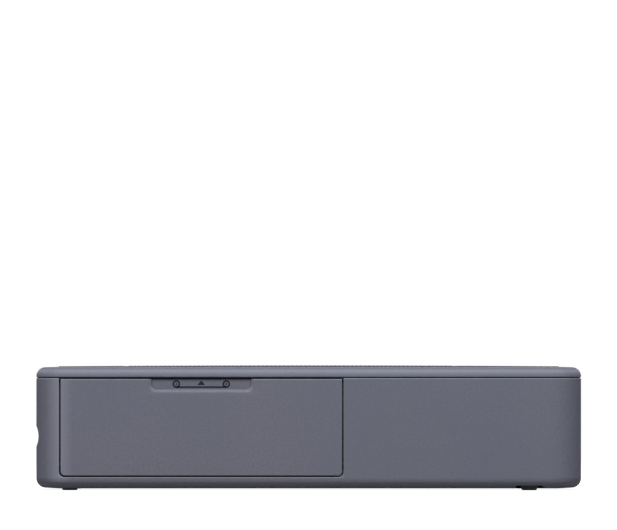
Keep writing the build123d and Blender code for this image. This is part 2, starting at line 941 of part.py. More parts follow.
def cassette_door():
    skin = rounded_block(0, case_bottom, case_rim)
    skin -= rounded_block(door_thickness, floor_top, case_rim + beyond)
    deep = front_face + corner_radius
    outline = block(door_left, door_right, front_face - beyond, deep, door_bottom, door_top)
    corners = [e for e in outline.edges().filter_by(Axis.Y) if e.center().Z < door_top - beyond]
    outline = fillet(corners, door_corner)
    door = skin & outline
    door = recessed(door)
    knuckle = pin_radius + knuckle_wall
    for start in (door_left, door_right - knuckle_length):
        door += rod_x(knuckle, door_pin_y, door_pin_level, start, start + knuckle_length)
        door += block(
            start, start + knuckle_length, front_face + door_thickness / 2, door_pin_y,
            door_pin_level - knuckle, door_pin_level + knuckle,
        )
    for centre in hook_centres():
        door += door_hook(centre)
    door = door & rounded_block(0, case_bottom, case_rim)
    door = fillet(skin_edges(door, 0), edge_round)
    for span in hinge_pin_spans()[:2]:
        door -= hinge_pin(span, pin_radius + running_gap, hinge_end_gap)
    return door


def hook_centres():
    return [door_left + hook_inset + hook_width / 2, door_right - hook_inset + hook_width / 2]


def door_hook(centre):
    """Snap hook behind the door's top, with its barb pointing down."""
    inner = front_face + door_thickness
    tip = inner + hook_reach
    top = door_top - hook_drop + hook_thickness
    low = top - hook_thickness
    side = make_face(
        Polyline(
            (centre, inner - beyond, low), (centre, tip - 2 * hook_barb, low),
            (centre, tip - hook_barb, low - hook_barb),
            (centre, tip, low), (centre, tip, top), (centre, inner - beyond, top), close=True,
        )
    )
    half = hook_width / 2
    return extrude(side, half, dir=(1, 0, 0)) + extrude(side, half, dir=(-1, 0, 0))


def tray_door():
    half = tray_door_width / 2
    skin = rounded_block(0, case_bottom, case_rim)
    skin -= rounded_block(door_thickness, floor_top, case_rim + beyond)
    deep = left_face + corner_radius
    flap = skin & block(left_face - beyond, deep, -half, half, tray_door_bottom, tray_door_top)
    flap = fillet(skin_edges(flap, 0), edge_round)
    groove_low = groove_level - groove_radius / 2
    flap += groove_backing_block(-half + boss_length, half - boss_length, groove_low, tray_door_top)
    knuckle = min(pin_radius + knuckle_wall, tray_pin_inset)
    for y0 in (-half, half - knuckle_length):
        flap += rod_y(knuckle, tray_pin_x, tray_pin_level, y0, y0 + knuckle_length)
    flap -= groove_cutter()
    for span in hinge_pin_spans()[2:]:
        flap -= hinge_pin(span, pin_radius + running_gap, hinge_end_gap)
    return flap


def hinge_pins():
    return joined([hinge_pin(span, pin_radius) for span in hinge_pin_spans()])


# Chassis
def plate_bush_holes():
    """Shaft places that both side plates carry, as (x, z, shaft radius)."""
    return [
        (*platen_axis, platen_core),
        (*capstan_axis, grip_shaft),
        (capstan_x, pinch_level, grip_shaft),
        (*pickup_axis, pickup_core),
        (*cam_axis, cam_shaft_radius),
    ]


def rear_hub_holes():
    return [(supply_x, spool_level, hub_shaft), (takeup_x, spool_level, hub_shaft)]


def side_plate(side):
    y0, y1 = sorted((side * plate_inner, side * plate_outer))
    plate = block(plate_left_x, plate_right_x, y0, y1, plate_bottom, plate_top)
    plate = fillet(plate.edges().filter_by(Axis.Y), plate_round)
    for x, z, radius in plate_bush_holes():
        plate -= rod_y(radius + bush_wall + press_gap, x, z, y0 - beyond, y1 + beyond)
    plate -= rod_y(pivot_radius + press_gap, arm_pivot_x, arm_pivot_level, y0 - beyond, y1 + beyond)
    for x, y in tab_centres():
        if y * side > 0:
            inner, outer = sorted((side * (plate_outer - bite), side * (plate_outer + tab_length)))
            left = x - tab_width / 2
            top = plate_bottom + plate_thickness
            tab = block(left, left + tab_width, inner, outer, plate_bottom, top)
            plate += tab - rod_z(screw_radius + fit_gap, x, y, plate_bottom - beyond, top + beyond)
    return plate


def front_side_plate():
    plate = side_plate(-1)
    reach = trough_radius + bay_clear
    window = rod_y(reach, supply_x, spool_level, -plate_outer - beyond, -plate_inner + beyond)
    window += rod_y(reach, takeup_x, spool_level, -plate_outer - beyond, -plate_inner + beyond)
    window += block(
        supply_x, takeup_x, -plate_outer - beyond, -plate_inner + beyond,
        spool_level - reach, spool_level + reach,
    )
    plate -= window
    barb_low = door_top - hook_drop - hook_barb
    lip_top = barb_low - keeper_clear
    for centre in hook_centres():
        x0 = centre - hook_width / 2 - keeper_side
        x1 = centre + hook_width / 2 + keeper_side
        end = -plate_outer - keeper_reach
        base = lip_top - keeper_lip
        plate += block(x0, x1, end, -plate_outer + bite, base - keeper_thickness, base)
        plate += block(x0, x1, end, end + keeper_thickness, base - keeper_thickness, lip_top)
    return plate


def rear_side_plate():
    plate = side_plate(1)
    for x, z, radius in rear_hub_holes():
        plate -= rod_y(radius + bush_wall + press_gap, x, z, plate_inner - beyond, plate_outer + beyond)
    for axis in (feed_motor_axis, cam_motor_axis):
        plate -= rod_y(motor_boss + press_gap, axis[0], axis[1], plate_inner - beyond, plate_outer + beyond)
    return plate


def chassis_screws():
    screws = []
    for x, y in tab_centres():
        seat = plate_bottom + plate_thickness
        shank = rod_z(screw_radius, x, y, plate_bottom - tab_screw_bite + fit_gap, seat)
        screws.append(shank + rod_z(screw_head_radius, x, y, seat, seat + screw_head_height))
    return joined(screws)


def cross_bar(x, z0, z1, width):
    """U-shaped steel bar between the side plates."""
    bar = block(x - width / 2, x + width / 2, -plate_inner, plate_inner, z0, z1)
    return bar - block(
        x - width / 2 + bar_thickness, x + width / 2 + beyond, -plate_inner - beyond, plate_inner + beyond,
        z0 + bar_thickness, z1 - bar_thickness,
    )


def entry_cross_bar():
    top = plate_top - bar_drop
    return cross_bar(entry_bar_x, top - entry_bar_height, top, entry_bar_width)


def exit_cross_bar():
    base = paper_level + guide_slot + guide_thickness + bar_clear
    return cross_bar(exit_bar_x, base, base + entry_bar_height, exit_bar_width)


def bush(x, z, radius, side):
    inner, outer = sorted((side * (plate_inner - bush_end), side * plate_outer))
    near, far = sorted((side * plate_outer, side * (plate_outer + bush_flange_thickness)))
    body = rod_y(radius + bush_wall, x, z, inner, outer)
    body += rod_y(radius + bush_wall + bush_flange, x, z, near, far)
    through = plate_thickness + beyond
    return body - rod_y(radius + running_gap, x, z, inner - through, outer + through)


def roller_bushes():
    bushes = []
    for x, z, radius in plate_bush_holes():
        bushes += [bush(x, z, radius, -1), bush(x, z, radius, 1)]
    for x, z, radius in rear_hub_holes():
        bushes.append(bush(x, z, radius, 1))
    return joined(bushes)


def gear_studs():
    studs = []
    for x, z in idlers:
        stud = rod_y(stud_shoulder, x, z, plate_outer, gear_start - stud_clear)
        stud += rod_y(stud_radius, x, z, plate_outer, gear_end + stud_clear + stud_cap_thickness)
        stud += rod_y(stud_cap, x, z, gear_end + stud_clear, gear_end + stud_clear + stud_cap_thickness)
        studs.append(stud)
    return joined(studs)


# Paper path
shaft_front = -plate_outer - bush_flange_thickness - shaft_stand
shaft_rear = plate_outer + bush_flange_thickness + shaft_stand
gear_shaft_end = gear_end + shaft_stand


def platen_shaft():
    return rod_y(platen_core, *platen_axis, shaft_front, gear_shaft_end)


def platen_rubber():
    half = platen_length / 2
    return tube_y(platen_radius, platen_core + press_gap, *platen_axis, -half, half)


def capstan_roller():
    shaft = rod_y(grip_shaft, *capstan_axis, shaft_front, gear_shaft_end)
    return shaft + rod_y(grip_radius, *capstan_axis, -grip_length / 2, grip_length / 2)


def pinch_roller():
    shaft = rod_y(grip_shaft, capstan_x, pinch_level, shaft_front, shaft_rear)
    return shaft + rod_y(grip_radius, capstan_x, pinch_level, -grip_length / 2, grip_length / 2)


def pickup_shaft():
    return rod_y(pickup_core, *pickup_axis, shaft_front, gear_shaft_end)


def pickup_tyres():
    """Rubber tyres with a flat, which faces down at rest and lets the tray slide under."""
    tyres = []
    for index in range(pickup_count):
        y = (index - (pickup_count - 1) / 2) * pickup_spacing
        half = pickup_tyre_width / 2
        tyre = tube_y(pickup_radius, pickup_core + press_gap, *pickup_axis, y - half, y + half)
        tyre -= block(
            pickup_x - pickup_radius, pickup_x + pickup_radius, y - half - beyond, y + half + beyond,
            pickup_level - pickup_radius - beyond, pickup_level - pickup_flat,
        )
        tyres.append(tyre)
    return joined(tyres)


def feed_ramp():
    """Stop wall at the end of the tray and the ramp up to the platen."""
    start = pickup_x + ramp_start
    end = print_line - platen_radius - ramp_lip
    top = paper_level - guide_drop
    points = [
        (start, floor_top), (start + ramp_wall, floor_top),
        (start + ramp_wall, ramp_stop - ramp_haunch), (end, top - guide_thickness),
        (end, top), (start, ramp_stop),
    ]
    return profile_y(points, -plate_inner, plate_inner)


def centre_guide():
    """Smooth plate that carries the paper from the platen to the grip rollers."""
    start = print_line + platen_radius + guide_clear
    end = capstan_x - grip_radius - guide_clear
    top = paper_level - guide_drop
    return block(start, end, -plate_inner, plate_inner, top - guide_thickness / 2, top)


def guide_start():
    return capstan_x + grip_radius + guide_clear


def guide_end():
    return right_face - guide_end_inset


def lower_paper_guide():
    start = guide_start()
    end = guide_end()
    bottom = paper_level - guide_drop - guide_thickness
    floor = bottom + guide_thickness
    guide = block(start, end, -plate_inner, plate_inner, bottom, floor)
    for side in (-1, 1):
        y0, y1 = sorted((side * (plate_inner - guide_leg), side * plate_inner))
        guide += block(start, end, y0, y1, bottom, paper_level + guide_slot - guide_drop)
        guide += block(end - guide_leg, end, y0, y1, floor_top, floor)
    return guide


def upper_paper_guide():
    base = paper_level + guide_slot - guide_drop
    return block(guide_start(), guide_end(), -plate_inner, plate_inner, base, base + guide_thickness)


# Motors
def motor(axis, radius, length):
    """Can motor behind the rear plate, with its boss in the plate and its shaft in the pinion."""
    x, z = axis
    body = rod_y(radius, x, z, plate_inner - length, plate_inner)
    rear = plate_inner - length
    body += rod_y(radius * motor_end_share, x, z, rear - motor_end_height, rear)
    body += rod_y(motor_boss, x, z, plate_inner - bite, plate_outer)
    return body - rod_y(motor_shaft + running_gap, x, z, plate_inner - length / 2, plate_outer + beyond)


def pinion(axis, phase):
    """Pinion on its motor shaft."""
    x, z = axis
    wheel = gear(axis, pinion_teeth, phase, motor_shaft)
    return wheel + rod_y(motor_shaft, x, z, plate_inner - motor_length / 4, gear_end)


# Ribbon cassette
def cassette_shell():
    front = cassette_front_y - cassette_cap
    rear_cap = cassette_rear_y - cassette_cap
    inner = trough_radius - trough_wall
    shell = tube_y(trough_radius, inner, supply_x, spool_level, front, cassette_rear_y)
    shell += tube_y(trough_radius, inner, takeup_x, spool_level, front, cassette_rear_y)
    for centre, toward in ((supply_x, 1), (takeup_x, -1)):
        mouth = centre + toward * (trough_radius - trough_mouth)
        x0, x1 = sorted((mouth, centre + toward * (trough_radius + beyond)))
        shell -= block(
            x0, x1, cassette_front_y, rear_cap,
            spool_level - trough_radius, spool_level - trough_radius / 3,
        )
    for y0, y1 in ((front, cassette_front_y), (rear_cap, cassette_rear_y)):
        cap = block(
            supply_x, takeup_x, y0, y1,
            spool_level - trough_radius + cassette_cap_step, spool_level + trough_radius,
        )
        cap += rod_y(trough_radius, supply_x, spool_level, y0, y1)
        cap += rod_y(trough_radius, takeup_x, spool_level, y0, y1)
        shell += cap
    for centre in (supply_x, takeup_x):
        hub_hole = core_radius + cassette_hub_clear
        shell -= rod_y(hub_hole, centre, spool_level, rear_cap - beyond, cassette_rear_y + beyond)
        shell += rod_y(
            core_bore - running_gap, centre, spool_level, cassette_front_y, cassette_front_y + core_stub
        )
    for x in (supply_x + rod_offset_x, takeup_x - rod_offset_x):
        shell += rod_y(guide_rod, x, rod_level, cassette_front_y - bite, cassette_rear_y - bite)
    grip_half = cassette_grip_height / 2
    grip = block(
        supply_x, takeup_x, front - cassette_grip_depth, front,
        spool_level - cassette_grip_thickness / 2, spool_level + cassette_grip_thickness / 2,
    )
    grip += block(
        supply_x, takeup_x, front - cassette_grip_depth, front - cassette_grip_depth + cassette_grip_plate,
        spool_level - grip_half, spool_level + grip_half,
    )
    return shell + grip


core_front = cassette_front_y + core_gap
core_rear = cassette_rear_y - cassette_cap - core_gap
ribbon_front = -ribbon_width / 2 - ribbon_shift
ribbon_rear = ribbon_width / 2 - ribbon_shift


def core(centre):
    return tube_y(core_radius, core_bore, centre, spool_level, core_front, core_rear)


def ribbon_roll(centre, radius):
    return tube_y(radius, core_radius + press_gap, centre, spool_level, ribbon_front, ribbon_rear)


def spindle(centre, end):
    """Drive spindle through the rear plate into the core's rear end."""
    hub = rod_y(core_bore - running_gap, centre, spool_level, core_rear - hub_reach, cassette_rear_y)
    start = cassette_rear_y + hub_clear
    flange = rod_y(core_radius, centre, spool_level, start, plate_inner - bush_end - hub_clear)
    neck = rod_y(hub_shaft, centre, spool_level, cassette_rear_y - bite, end)
    return hub + flange + neck


def tangent_point(centre, radius, corner, side):
    """Where a line from the corner meets a roll."""
    reach = math.dist(centre, corner)
    turn = bearing(centre, corner) + side * math.acos(radius / reach)
    return (centre[0] + radius * math.cos(turn), centre[1] + radius * math.sin(turn))


def ribbon_web():
    """Ribbon from the supply roll, under both guide rods, up to the take-up roll."""
    left_corner = (supply_x + rod_offset_x - guide_rod - ribbon_thickness, ribbon_level)
    right_corner = (takeup_x - rod_offset_x + guide_rod + ribbon_thickness, ribbon_level)
    start = tangent_point((supply_x, spool_level), supply_roll + ribbon_rise, left_corner, 1)
    end = tangent_point((takeup_x, spool_level), takeup_roll + ribbon_rise, right_corner, -1)
    thick = ribbon_thickness
    points = [
        start, left_corner, right_corner, end,
        (end[0] - thick, end[1]), (right_corner[0] - thick, right_corner[1] + thick),
        (left_corner[0] + thick, left_corner[1] + thick), (start[0] + thick, start[1]),
    ]
    return profile_y(points, ribbon_front, ribbon_rear)


# Print head
def head_arm():
    """Steel arm over the cassette, with two cheeks that hang on the pivot and carry the tail."""
    left = print_line - arm_left_reach
    clear_x = takeup_x + trough_radius + arm_step
    top = arm_bottom + arm_flange
    half = arm_width / 2
    eye_low = arm_pivot_level - arm_eye
    tail_end = cam_x + cam_shaft_radius + arm_tail_end
    tail_low = arm_tail_level - arm_tail_height
    outline = [
        (left, arm_bottom), (clear_x, arm_bottom),
        (arm_pivot_x - arm_eye, eye_low), (arm_pivot_x + arm_eye, eye_low),
        (cam_x - cam_radius - cam_throw, tail_low), (tail_end, tail_low), (tail_end, arm_tail_level),
        (cam_x - cam_radius, arm_tail_level), (arm_pivot_x + arm_eye + arm_shoulder, top), (left, top),
    ]
    arm = block(left, clear_x, -half, half, arm_bottom, arm_bottom + arm_thickness)
    for side in (-1, 1):
        y0, y1 = sorted((side * (half - arm_thickness), side * half))
        arm += profile_y(outline, y0, y1)
    hole = rod_y(pivot_radius + running_gap, arm_pivot_x, arm_pivot_level, -half - beyond, half + beyond)
    return arm - hole


def heat_sink():
    """Aluminium bar over the print head, with upright fins under the arm."""
    half = sink_width / 2
    low = head_bottom + head_height
    reach = head_length / 2 - sink_end_inset
    sink = block(print_line - half, print_line + half, -reach, reach, low, low + sink_base)
    pitch = (sink_width - sink_fin_thickness) / (sink_fins - 1)
    for index in range(sink_fins):
        x = print_line - half + index * pitch
        sink += block(x, x + sink_fin_thickness, -reach, reach, low, arm_bottom)
    return sink


def thermal_head():
    """Ceramic strip with its raised print line along the middle."""
    half = head_width / 2
    strip = block(
        print_line - half, print_line + half, -head_length / 2, head_length / 2,
        head_bottom + head_step, head_bottom + head_height,
    )
    bead = rod_y(head_bead, print_line, head_bottom + head_bead, -head_length / 2, head_length / 2)
    return strip + bead


def head_pivot():
    end = plate_outer + pivot_stand
    return rod_y(pivot_radius, arm_pivot_x, arm_pivot_level, -end, end)


def head_springs():
    """Torsion springs round the pivot, between the arm's cheeks and the side plates."""
    springs = []
    inner = pivot_radius + spring_clear
    start = arm_width / 2 + spring_gap
    for side in (-1, 1):
        y0, y1 = sorted((side * start, side * (start + spring_length)))
        springs.append(tube_y(inner + spring_wire, inner, arm_pivot_x, arm_pivot_level, y0, y1))
    return joined(springs)


def cam_shaft():
    """Shaft with one round cam under each cheek of the arm, thrown down at rest."""
    shaft = rod_y(cam_shaft_radius, *cam_axis, shaft_front, gear_shaft_end)
    middle = arm_width / 2 - arm_thickness / 2
    for side in (-1, 1):
        y0 = side * middle - cam_width / 2
        shaft += rod_y(cam_radius, cam_x, cam_level - cam_throw, y0, y0 + cam_width)
    return shaft


# Electronics, power button and fan
def board_posts():
    right = right_face - wall - board_end_gap
    half = board_width / 2
    return [
        (x, y)
        for x in (board_left_x + board_post_inset, right - board_post_inset)
        for y in (-half + board_post_inset, half - board_post_inset)
    ]


def main_board():
    right = right_face - wall - board_end_gap
    half = board_width / 2
    top = board_level + board_thickness
    board = block(board_left_x, right, -half, half, board_level, top)
    for spot, side in chip_places:
        x = board_left_x + spot
        board += block(x - side, x + side, -side, side, top, top + chip_height)
    for index in range(can_count):
        x = board_left_x + can_start + index * can_pitch
        board += rod_z(can_radius, x, can_inset - half, top, top + can_height)
    return board


def dc_jack():
    x0 = right_face - wall - jack_length - port_gap
    x1 = right_face - wall - port_gap
    base = board_level + board_thickness
    middle = base + jack_height / 2
    body = block(x0, x1, jack_y - jack_width / 2, jack_y + jack_width / 2, base, base + jack_height)
    body += rod_x(jack_barrel, jack_y, middle, x1 - beyond, right_face - port_recess)
    face = right_face - port_recess
    body -= rod_x(jack_bore, jack_y, middle, face - jack_depth, face + beyond)
    return body + rod_x(jack_pin, jack_y, middle, face - jack_depth - bite, face - jack_pin_inset)


def usb_port():
    x1 = right_face - port_recess
    x0 = x1 - usb_length
    base = board_level + board_thickness
    half = usb_width / 2
    shell = block(x0, x1, usb_y - half, usb_y + half, base, base + usb_height)
    shell = fillet(shell.edges().filter_by(Axis.X), usb_height / 2 - usb_corner_gap)
    inner = block(
        x0 + beyond, x1 + beyond, usb_y - half + usb_shell, usb_y + half - usb_shell,
        base + usb_shell, base + usb_height - usb_shell,
    )
    shell -= fillet(inner.edges().filter_by(Axis.X), usb_height / 2 - usb_shell - usb_corner_gap)
    middle = base + usb_height / 2
    side = half - usb_tongue_inset
    tongue = block(
        x0 + bite, x1 - beyond, usb_y - side, usb_y + side, middle - usb_tongue / 2, middle + usb_tongue / 2
    )
    return shell + tongue


button_inner = left_face + wall + button_gap + button_flange_thickness
stem_end = button_inner + button_stem
plunger_face = stem_end + button_travel + switch_gap
button_board_x = plunger_face + switch_height


def power_button():
    cap = rod_x(button_radius, button_y, button_level, left_face + button_recess, button_inner)
    flange_start = left_face + wall + button_gap
    cap += rod_x(button_radius + button_flange, button_y, button_level, flange_start, button_inner)
    stem = button_radius * button_stem_share
    return cap + rod_x(stem, button_y, button_level, button_inner - bite, stem_end)


def button_board_span():
    """Ends of the small board across the case."""
    start = button_y - button_board_width / 2 + light_offset / 2
    return (start, start + button_board_width)


def button_posts():
    start, end = button_board_span()
    posts = []
    for y in (start + button_board_margin, end - button_board_margin):
        posts.append(rod_x(button_post_radius, y, button_level, left_face + wall - bite, button_board_x))
    return posts


def button_board():
    start, end = button_board_span()
    half = button_board_height / 2
    board = block(
        button_board_x, button_board_x + board_thickness, start, end,
        button_level - half, button_level + half,
    )
    side = switch_side / 2
    board += block(
        plunger_face + switch_step, button_board_x + bite, button_y - side, button_y + side,
        button_level - side, button_level + side,
    )
    board += rod_x(button_radius * button_stem_share, button_y, button_level, plunger_face, button_board_x)
    light_y = button_y + light_offset
    lamp = lamp_side / 2
    return board + block(
        button_board_x - lamp_height, button_board_x + bite, light_y - lamp, light_y + lamp,
        button_level - lamp, button_level + lamp,
    )


def light_guide():
    light_y = button_y + light_offset
    end = button_board_x - lamp_height - light_gap
    rod = rod_x(light_radius, light_y, button_level, left_face + button_recess, end)
    start = left_face + wall
    return rod + rod_x(light_radius + light_flange, light_y, button_level, start, start + light_flange)


def fan_posts():
    """Two low bosses on the back wall under opposite corners of the fan."""
    reach = fan_size / 2 - fan_boss_inset
    inner = back_face - wall
    return [
        rod_y(fan_boss, fan_x + side * reach, fan_level + side * reach, inner - fan_post, inner + bite)
        for side in (-1, 1)
    ]


fan_rear = back_face - wall - fan_post
fan_front = fan_rear - fan_depth


def fan_frame():
    half = fan_size / 2
    frame = block(
        fan_x - half, fan_x + half, fan_front, fan_rear, fan_level - half, fan_level + half
    )
    frame = fillet(frame.edges().filter_by(Axis.Y), fan_corner)
    frame -= rod_y(fan_bore, fan_x, fan_level, fan_front - beyond, fan_rear + beyond)
    frame += rod_y(fan_hub, fan_x, fan_level, fan_front, fan_front + fan_strut)
    for turn in fan_strut_angles:
        strut = block(fan_hub - beyond, fan_bore + bite, 0, fan_strut, -fan_strut / 2, fan_strut / 2)
        frame += Pos(fan_x, fan_front, fan_level) * Rot(0, turn, 0) * strut
    return frame + rod_y(fan_pin, fan_x, fan_level, fan_front, fan_rear - fan_cap - fan_end_gap)


def fan_rotor():
    start = fan_front + fan_strut + fan_end_gap
    end = fan_rear - fan_end_gap
    rotor = rod_y(fan_hub, fan_x, fan_level, start, end)
    for index in range(fan_blades):
        blade = block(
            fan_hub - fan_root, fan_bore - fan_tip_gap, -(end - start) / 2, (end - start) / 2,
            -fan_blade_thickness / 2, fan_blade_thickness / 2,
        )
        place = Pos(fan_x, (start + end) / 2, fan_level) * Rot(0, index * 360 / fan_blades, 0)
        rotor += place * Rot(fan_blade_turn, 0, 0) * blade
    rotor = rotor & rod_y(fan_bore - fan_tip_gap, fan_x, fan_level, start, end)
    return rotor - rod_y(fan_pin + running_gap, fan_x, fan_level, start - beyond, fan_rear - fan_cap)


nodes = {
    "lower_case": lower_case(),
    "top_cover": top_cover(),
    "textured_inlay": textured_inlay(),
    "cassette_door": cassette_door(),
    "tray_door": tray_door(),
    "hinge_pins": hinge_pins(),
    "rubber_feet": rubber_feet(),
    "case_screws": case_screws(),
    "front_side_plate": front_side_plate(),
    "rear_side_plate": rear_side_plate(),
    "entry_cross_bar": entry_cross_bar(),
    "exit_cross_bar": exit_cross_bar(),
    "chassis_screws": chassis_screws(),
    "roller_bushes": roller_bushes(),
    "gear_studs": gear_studs(),
    "platen_shaft": platen_shaft(),
    "platen_rubber": platen_rubber(),
    "platen_gear": gear(platen_axis, platen_teeth, platen_phase, platen_core + press_gap),
    "capstan_roller": capstan_roller(),
    "capstan_gear": gear(capstan_axis, capstan_teeth, capstan_phase, grip_shaft + press_gap),
    "pinch_roller": pinch_roller(),
    "pickup_shaft": pickup_shaft(),
    "pickup_tyres": pickup_tyres(),
    "pickup_gear": gear(pickup_axis, pickup_teeth, pickup_phase, pickup_core + press_gap),
    "takeup_idler": gear(takeup_idler_axis, takeup_idler_teeth, takeup_idler_phase, idler_bore),
    "capstan_idler": gear(capstan_idler_axis, capstan_idler_teeth, capstan_idler_phase, idler_bore),
    "feed_idler": gear(feed_idler_axis, feed_idler_teeth, feed_idler_phase, idler_bore),
    "pickup_idler": gear(pickup_idler_axis, pickup_idler_teeth, pickup_idler_phase, idler_bore),
    "feed_ramp": feed_ramp(),
    "centre_guide": centre_guide(),
    "lower_paper_guide": lower_paper_guide(),
    "upper_paper_guide": upper_paper_guide(),
    "feed_motor": motor(feed_motor_axis, motor_radius, motor_length),
    "feed_pinion": pinion(feed_motor_axis, feed_pinion_phase),
    "cam_motor": motor(cam_motor_axis, cam_motor_radius, cam_motor_length),
    "cam_pinion": pinion(cam_motor_axis, cam_pinion_phase),
    "cassette_shell": cassette_shell(),
    "supply_core": core(supply_x),
    "supply_ribbon": ribbon_roll(supply_x, supply_roll),
    "supply_spindle": spindle(supply_x, shaft_rear),
    "takeup_core": core(takeup_x),
    "takeup_ribbon": ribbon_roll(takeup_x, takeup_roll),
    "takeup_spindle": spindle(takeup_x, gear_shaft_end),
    "takeup_gear": gear(takeup_axis, takeup_teeth, takeup_phase, hub_shaft + press_gap),
    "ribbon_web": ribbon_web(),
    "head_arm": head_arm(),
    "heat_sink": heat_sink(),
    "thermal_head": thermal_head(),
    "head_pivot": head_pivot(),
    "head_springs": head_springs(),
    "cam_shaft": cam_shaft(),
    "cam_gear": gear(cam_axis, cam_teeth, cam_phase, cam_shaft_radius + press_gap),
    "main_board": main_board(),
    "dc_jack": dc_jack(),
    "usb_port": usb_port(),
    "power_button": power_button(),
    "button_board": button_board(),
    "light_guide": light_guide(),
    "fan_frame": fan_frame(),
    "fan_rotor": fan_rotor(),
}

os.makedirs("parts", exist_ok=True)
for name, shape in nodes.items():
    export_step(shape, f"parts/{name}.step")
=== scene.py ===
import math
import bmesh
import bpy
from mathutils import Matrix, Vector


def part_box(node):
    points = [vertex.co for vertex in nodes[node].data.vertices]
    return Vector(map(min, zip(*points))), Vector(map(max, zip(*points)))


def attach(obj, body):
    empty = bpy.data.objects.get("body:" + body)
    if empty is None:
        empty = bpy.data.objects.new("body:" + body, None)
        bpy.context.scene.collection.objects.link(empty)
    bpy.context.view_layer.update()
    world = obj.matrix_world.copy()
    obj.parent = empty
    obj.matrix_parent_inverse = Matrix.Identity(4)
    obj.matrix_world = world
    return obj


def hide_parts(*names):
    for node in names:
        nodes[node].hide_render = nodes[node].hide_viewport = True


# Compact photo printer. X runs along the long side, with the tray end at -X.
# The cassette door faces -Y. Lengths are in metres, so mm is a thousandth.

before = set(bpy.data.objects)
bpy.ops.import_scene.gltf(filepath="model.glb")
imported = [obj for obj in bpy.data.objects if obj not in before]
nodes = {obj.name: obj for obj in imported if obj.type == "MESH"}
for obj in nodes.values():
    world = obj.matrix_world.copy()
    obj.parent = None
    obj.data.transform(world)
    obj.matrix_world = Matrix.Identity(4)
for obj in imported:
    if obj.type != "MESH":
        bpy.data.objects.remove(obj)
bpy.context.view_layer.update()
mm = 0.001

# Places on the case, as in the CAD source
half_length = 137.5 * mm
half_depth = 81.5 * mm
corner = 16.0 * mm
case_rim = 56.55 * mm
lid_bottom = 57.05 * mm
panel_half_length = 126.2 * mm
panel_half_depth = 70.2 * mm
panel_end_level = 62.48 * mm
panel_crown = 0.52 * mm
door_gap = 0.75 * mm
recess_middle = -54.1 * mm
recess_back_y = -80.5 * mm
print_line = -45.0 * mm
door_low, door_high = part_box("cassette_door")
tray_low, tray_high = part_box("tray_door")
inlay_low, inlay_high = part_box("textured_inlay")


# Shader maths
class Flow:
    """A shader socket that Python's operators work on."""

    def __init__(self, tree, socket):
        self.tree = tree
        self.socket = socket

    def node(self, kind, settings, values, output=0):
        """Output of a new node: its settings first, then the values or links of its sockets."""
        made = self.tree.nodes.new(kind)
        for name, value in settings.items():
            if name == "stops":
                ramp = made.color_ramp
                while len(ramp.elements) < len(value):
                    ramp.elements.new(0.5)
                for element, (position, colour) in zip(ramp.elements, value):
                    element.position = position
                    element.color = (*colour, 1)
            else:
                setattr(made, name, value)
        for name, value in values.items():
            if isinstance(value, Flow):
                self.tree.links.new(value.socket, made.inputs[name])
            else:
                made.inputs[name].default_value = value
        return Flow(self.tree, made.outputs[output])

    def maths(self, operation, *values):
        """Output of a Math node."""
        return self.node("ShaderNodeMath", {"operation": operation}, dict(enumerate(values)))

    def __add__(self, other):
        return self.maths("ADD", self, other)

    def __radd__(self, other):
        return self.maths("ADD", other, self)

    def __sub__(self, other):
        return self.maths("SUBTRACT", self, other)

    def __rsub__(self, other):
        return self.maths("SUBTRACT", other, self)

    def __mul__(self, other):
        return self.maths("MULTIPLY", self, other)

    def __rmul__(self, other):
        return self.maths("MULTIPLY", other, self)

    def __truediv__(self, other):
        return self.maths("DIVIDE", self, other)

    def __abs__(self):
        return self.maths("ABSOLUTE", self)

    def clamped(self):
        """Held between 0 and 1."""
        return self.maths("MAXIMUM", self.maths("MINIMUM", self, 1.0), 0.0)

    def above(self, level, width):
        """0 below the level, 1 above it, over a width."""
        return ((self - (level - width / 2)) / width).clamped()

    def near(self, level, reach):
        """1 at the level, falling to 0 at the reach either side."""
        return (1 - abs(self - level) / reach).clamped()

    def along(self, axis):
        """One coordinate of a place."""
        return self.node("ShaderNodeSeparateXYZ", {}, {0: self}, "XYZ".index(axis))

    def stretched(self, x, y, z):
        """A place whose coordinates run this many times as fast, for drawn-out patterns."""
        return self.node("ShaderNodeMapping", {}, {"Vector": self, "Scale": (x, y, z)})

    def noise(self, size, detail=2.0, roughness=0.5):
        """Even noise whose features have about that size, from 0 to 1."""
        values = {"Vector": self, "Scale": 1 / size, "Detail": detail, "Roughness": roughness}
        return self.node("ShaderNodeTexNoise", {}, values)

    def cells(self, size, feature="F1"):
        """Distance to the nearest point of a scatter with that spacing."""
        return self.node("ShaderNodeTexVoronoi", {"feature": feature}, {"Vector": self, "Scale": 1 / size})

    def mix(self, first, second):
        """Colour between two colours, by this share. The node's inputs 6 and 7 and output 2 are colours."""
        return self.node(
            "ShaderNodeMix", {"data_type": "RGBA"}, {0: self, 6: opaque(first), 7: opaque(second)}, 2
        )

    def bump(self, depth, strength=1.0, under=None):
        """Normal of a surface with this height, on top of another bump where one is given."""
        values = {"Height": self, "Distance": depth, "Strength": strength}
        if under:
            values["Normal"] = under
        return self.node("ShaderNodeBump", {}, values)


def opaque(colour):
    """A colour with the alpha that a colour socket needs."""
    return colour if isinstance(colour, Flow) else (*colour, 1)


def linear(red, green, blue):
    """Colour from 0 to 255 as a screen shows it, in the renderer's own units."""
    shares = [value / 255 for value in (red, green, blue)]
    return tuple(s / 12.92 if s <= 0.04045 else ((s + 0.055) / 1.055) ** 2.4 for s in shares)


